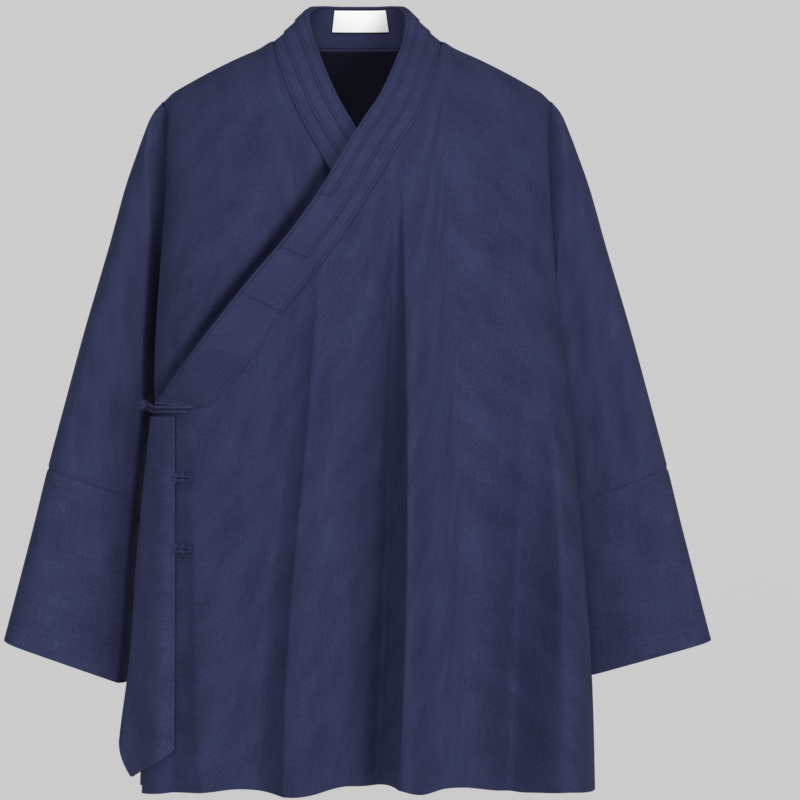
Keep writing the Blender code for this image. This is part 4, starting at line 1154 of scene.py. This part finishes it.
def flap_point(place, level, lift):
    place, level, lift = np.broadcast_arrays(*(np.asarray(a, float) for a in (place, level, lift)))
    z = blend(FLAP_TOP, -np.interp(place, *zip(*FLAP_BOTTOM)), level)
    fold = flap_fold(-z)
    free_x = blend(-0.1985, -0.2185, (z - FLAP_TOP) / (front_hem(-0.2185) - FLAP_TOP))
    edge_x = free_x - 0.003
    on_front = [front_point(x, z, 0.0038 + lift) for x in (FLAP_EDGE_X + 0 * z, (FLAP_EDGE_X + edge_x) / 2,
                                                           edge_x)]
    side_x = -half_width(-1.0, z)
    end = np.stack([side_x - 0.0022 - lift, 0.010 + 0 * z, z], axis=-1)
    turn = np.stack([fold[..., 0] - 0.8 * lift, fold[..., 1] - 0.6 * lift, z], axis=-1)
    behind = np.stack([turn[..., 0] * 0.6 + end[..., 0] * 0.4, fold[..., 1] + 0.026, z], axis=-1)
    knots = np.stack(on_front + [turn, behind, end], axis=0)
    places = np.array([0.0, 0.25, 0.5, 1.0, 1.45, 2.0])
    slopes = np.gradient(knots, places, axis=0)
    row = np.clip(np.searchsorted(places, place, side="right") - 1, 0, 4)
    step = (places[row + 1] - places[row])[..., None]
    t = (place - places[row])[..., None] / step
    pick = lambda table, k: np.take_along_axis(table, k[None, ..., None], axis=0)[0]
    start = (1 + 2 * t) * (1 - t) ** 2 * pick(knots, row) + t * (1 - t) ** 2 * step * pick(slopes, row)
    return start + t * t * (3 - 2 * t) * pick(knots, row + 1) + t * t * (t - 1) * step * pick(slopes, row + 1)


# Painted light: the flap uses the body's navy made lighter, standing in for light on its side-turned face.
flap_cloth_painted_lighter = woven("navy_flap_cloth_painted_light", (0.0222, 0.0260, 0.0680), (0.0395, 0.0462, 0.1130), mottling=0.85,
                   soft_creases=0.15)
flap = layer_piece(
    "side_flap_cloth",
    flap_point,
    run_with_edges(0.0, 2.0, 50, 0.11, 0.0008),
    run_with_edges(0.0, 1.0, 110, 0.36, 0.0008),
    0.0,
    0.0016,
    flap_cloth_painted_lighter,
)
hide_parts("side_flap")


def on_flap(places, levels):
    places, levels = np.broadcast_arrays(np.asarray(places, float), np.asarray(levels, float))
    points = flap_point(places, levels, 0.0)
    out = flap_point(places, levels, 0.001) - points
    return points, out / np.linalg.norm(out, axis=-1, keepdims=True)


flap_stitches = sewn(
    "flap_stitches",
    [on_flap(0.04, np.linspace(0.012, 0.984, 150)), on_flap(np.linspace(0.04, 1.9, 90), 0.990)],
    thread=hem_thread_painted_shade,
)

# The woven label is white satin, sewn inside the back of the collar.
label_satin = woven("label_satin", (0.90, 0.91, 0.89), (0.97, 0.98, 0.96), threads=3200.0, mottling=0.2,
                    sheen=0.0, soft_creases=0.03)
label = layer_piece(
    "neck_label_woven",
    lambda station, share, lift: band_point(station, share, lift - 0.0019),
    run_with_edges(27.0, 30.55, 40, 0.060, 0.0004),
    run_with_edges(0.08, 0.557, 18, 0.0235, 0.0004),
    0.0,
    0.0008,
    label_satin,
)
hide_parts("neck_label")
label_edge = layer_piece(
    "neck_label_edge",
    lambda station, share, lift: band_point(station, share, lift - 0.0017),
    run_with_edges(26.92, 30.63, 40, 0.0625, 0.0003),
    run_with_edges(0.055, 0.582, 18, 0.0258, 0.0003),
    0.0,
    0.0006,
    inside_shade_and_label_rim,
)

# Frogs: rolled cloth cord, sewn down in pairs. A ball knot fastens the lapel's end, and two tails hold the
# side.
frog_cloth = woven("navy_frog_cord", (0.0190, 0.0222, 0.0580), (0.0345, 0.0400, 0.0980), threads=1500.0,
                   mottling=0.8, soft_creases=0.0)
CORD_RADIUS, CORD_SPACING, CORD_LIFT = 0.0020, 0.0041, 0.0024
FROG_HEIGHT = -0.3797
BUTTON = np.array([-0.2185, -0.0625, FROG_HEIGHT + 0.0048])


def rolled_cord(name, course, radius, around=14, closed=False):
    """A round cord along a course of points, with its cloth's lap running along it."""
    count = len(course)
    ahead = np.roll(course, -1, axis=0) - np.roll(course, 1, axis=0)
    if not closed:
        ahead[0], ahead[-1] = course[1] - course[0], course[-1] - course[-2]
    ahead /= np.linalg.norm(ahead, axis=1, keepdims=True)
    side = np.cross(ahead, (0.31, 0.2, 0.93))
    side /= np.linalg.norm(side, axis=1, keepdims=True)
    up = np.cross(side, ahead)
    angle = np.linspace(0, 2 * math.pi, around, endpoint=False)
    run = np.concatenate([[0.0], np.cumsum(np.linalg.norm(np.diff(course, axis=0), axis=1))])
    twist = angle[None, :] + run[:, None] * 260.0
    lap = 1 - 0.14 * np.exp(-((np.mod(angle, 2 * math.pi) - math.pi) / 0.35) ** 2)
    ends = np.ones(count)
    if not closed:
        inset = np.minimum(run, run[-1] - run) / radius
        ends = np.sqrt(np.clip(1 - (1 - np.minimum(inset, 1)) ** 2, 0.0025, 1))
    reach = radius * lap[None, :] * ends[:, None]
    grid = course[:, None] + side[:, None] * (np.cos(twist) * reach)[..., None] + up[:,
        None] * (np.sin(twist) * reach)[..., None]
    index = np.arange(count * around).reshape(count, around)
    rows = range(count if closed else count - 1)
    corners = [
        (index[r, a], index[r, (a + 1) % around], index[(r + 1) % count, (a + 1) % around],
         index[(r + 1) % count, a])
        for r in rows for a in range(around)
    ]
    corners = [tuple(int(i) for i in c) for c in corners]
    if not closed:
        corners += [tuple(int(i) for i in index[0][::-1]), tuple(int(i) for i in index[-1])]
    mesh = bpy.data.meshes.new(name)
    mesh.from_pydata(grid.reshape(-1, 3).tolist(), [], corners)
    layer = mesh.uv_layers.new(name="cloth")
    flat = [(run[i // around], (i % around) / around * 2 * math.pi * radius) for c in corners for i in c]
    layer.data.foreach_set("uv", np.array(flat, np.float32).reshape(-1))
    if sum(f.center.dot(f.normal) * f.area for f in mesh.polygons) < 0:
        mesh.flip_normals()
    mesh.shade_smooth()
    piece = bpy.data.objects.new(name, mesh)
    bpy.context.scene.collection.objects.link(piece)
    mesh.materials.append(frog_cloth)
    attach(piece, "root")
    return piece


def frog_leg(x, side):
    return front_point(x, FROG_HEIGHT + side * CORD_SPACING / 2, CORD_LIFT)


upper_leg = [frog_leg(x, 1) for x in (-0.1670, -0.180, -0.192, -0.200)]
upper_leg += [np.array(p) + (0, 0, FROG_HEIGHT) for p in ((-0.2085, -0.0700, 0.0022),
                                                          (-0.2150, -0.0590, 0.0022),
                                                        (-0.2185, -0.0530, 0.0038), (-0.2235, -0.0500, 0.0))]
mirrored = [p * (1, 1, -1) + (0, 0, 2 * FROG_HEIGHT) for p in upper_leg[-2::-1]]
loop_course = curve_through(range(len(upper_leg) * 2 - 1),
                            upper_leg + mirrored)(np.linspace(0, 2 * len(upper_leg) - 2, 110))
loop_course[:, 2] += 0.0045 * ease((-0.205 - loop_course[:, 0]) / 0.012)
frog_loop = rolled_cord("frog_loop_cord", loop_course, CORD_RADIUS)
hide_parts("frog_loop")
loop_x = np.linspace(-0.2000, -0.1655, 30)
loop_top = front_point(loop_x, FROG_HEIGHT + CORD_SPACING / 2 + 0.0006, CORD_LIFT + CORD_RADIUS + 0.0001)
sewn("frog_loop_stitches", [(loop_top, np.tile((0.0, -0.8, 0.6), (30, 1)))], stitch=0.0013,
     width=0.00055, thread=pale_thread)

knot_turn = np.linspace(0, 2 * math.pi, 260, endpoint=False)
latitude = 0.95 * np.sin(4 * knot_turn)
longitude = 3 * knot_turn
knot_reach = 0.0033 + 0.0006 * np.cos(8 * knot_turn + 0.6)
knot_course = BUTTON + np.stack(
    [
        knot_reach * np.sin(latitude),
        knot_reach * np.cos(latitude) * np.cos(longitude),
        knot_reach * np.cos(latitude) * np.sin(longitude),
    ],
    axis=-1,
)
ball_knot = rolled_cord("frog_ball_knot", knot_course, 0.0015, around=10, closed=True)
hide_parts("frog_button")

for tail, tail_z in (("frog_tail_upper", -0.4490), ("frog_tail_lower", -0.5207)):
    start_x, end_x = -0.1663, -0.1842
    ends = [
        [front_point(x, tail_z + side * CORD_SPACING / 2, CORD_LIFT) for x in (end_x, (start_x + end_x) / 2,
            start_x)]
        for side in (1, -1)
    ]
    stops = ends[0] + [front_point(start_x + CORD_SPACING / 2, tail_z, CORD_LIFT)] + ends[1][::-1]
    tail_course = curve_through(range(7), stops)(np.linspace(0, 6, 44))
    tail_piece = rolled_cord(tail + "_cord", tail_course, CORD_RADIUS)
    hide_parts(tail)
    tack_courses = []
    for tack_x in (-0.1800, -0.1722):
        tack_z = np.linspace(tail_z + 0.0046, tail_z - 0.0046, 9)
        bulge = CORD_LIFT + CORD_RADIUS * np.sqrt(np.maximum(1 - ((np.abs(tack_z - tail_z) - CORD_SPACING
            / 2) / CORD_RADIUS) ** 2, 0.0))
        on_cord = front_point(tack_x, tack_z, bulge + 0.0001)
        for shift in (-0.0006, 0.0, 0.0006):
            tack_courses.append((on_cord + (shift, 0, 0), np.tile((0.0, -1.0, 0.0), (9, 1))))
    sewn(tail + "_tacks", tack_courses, pitch=0.0020, stitch=0.0022, width=0.0005)
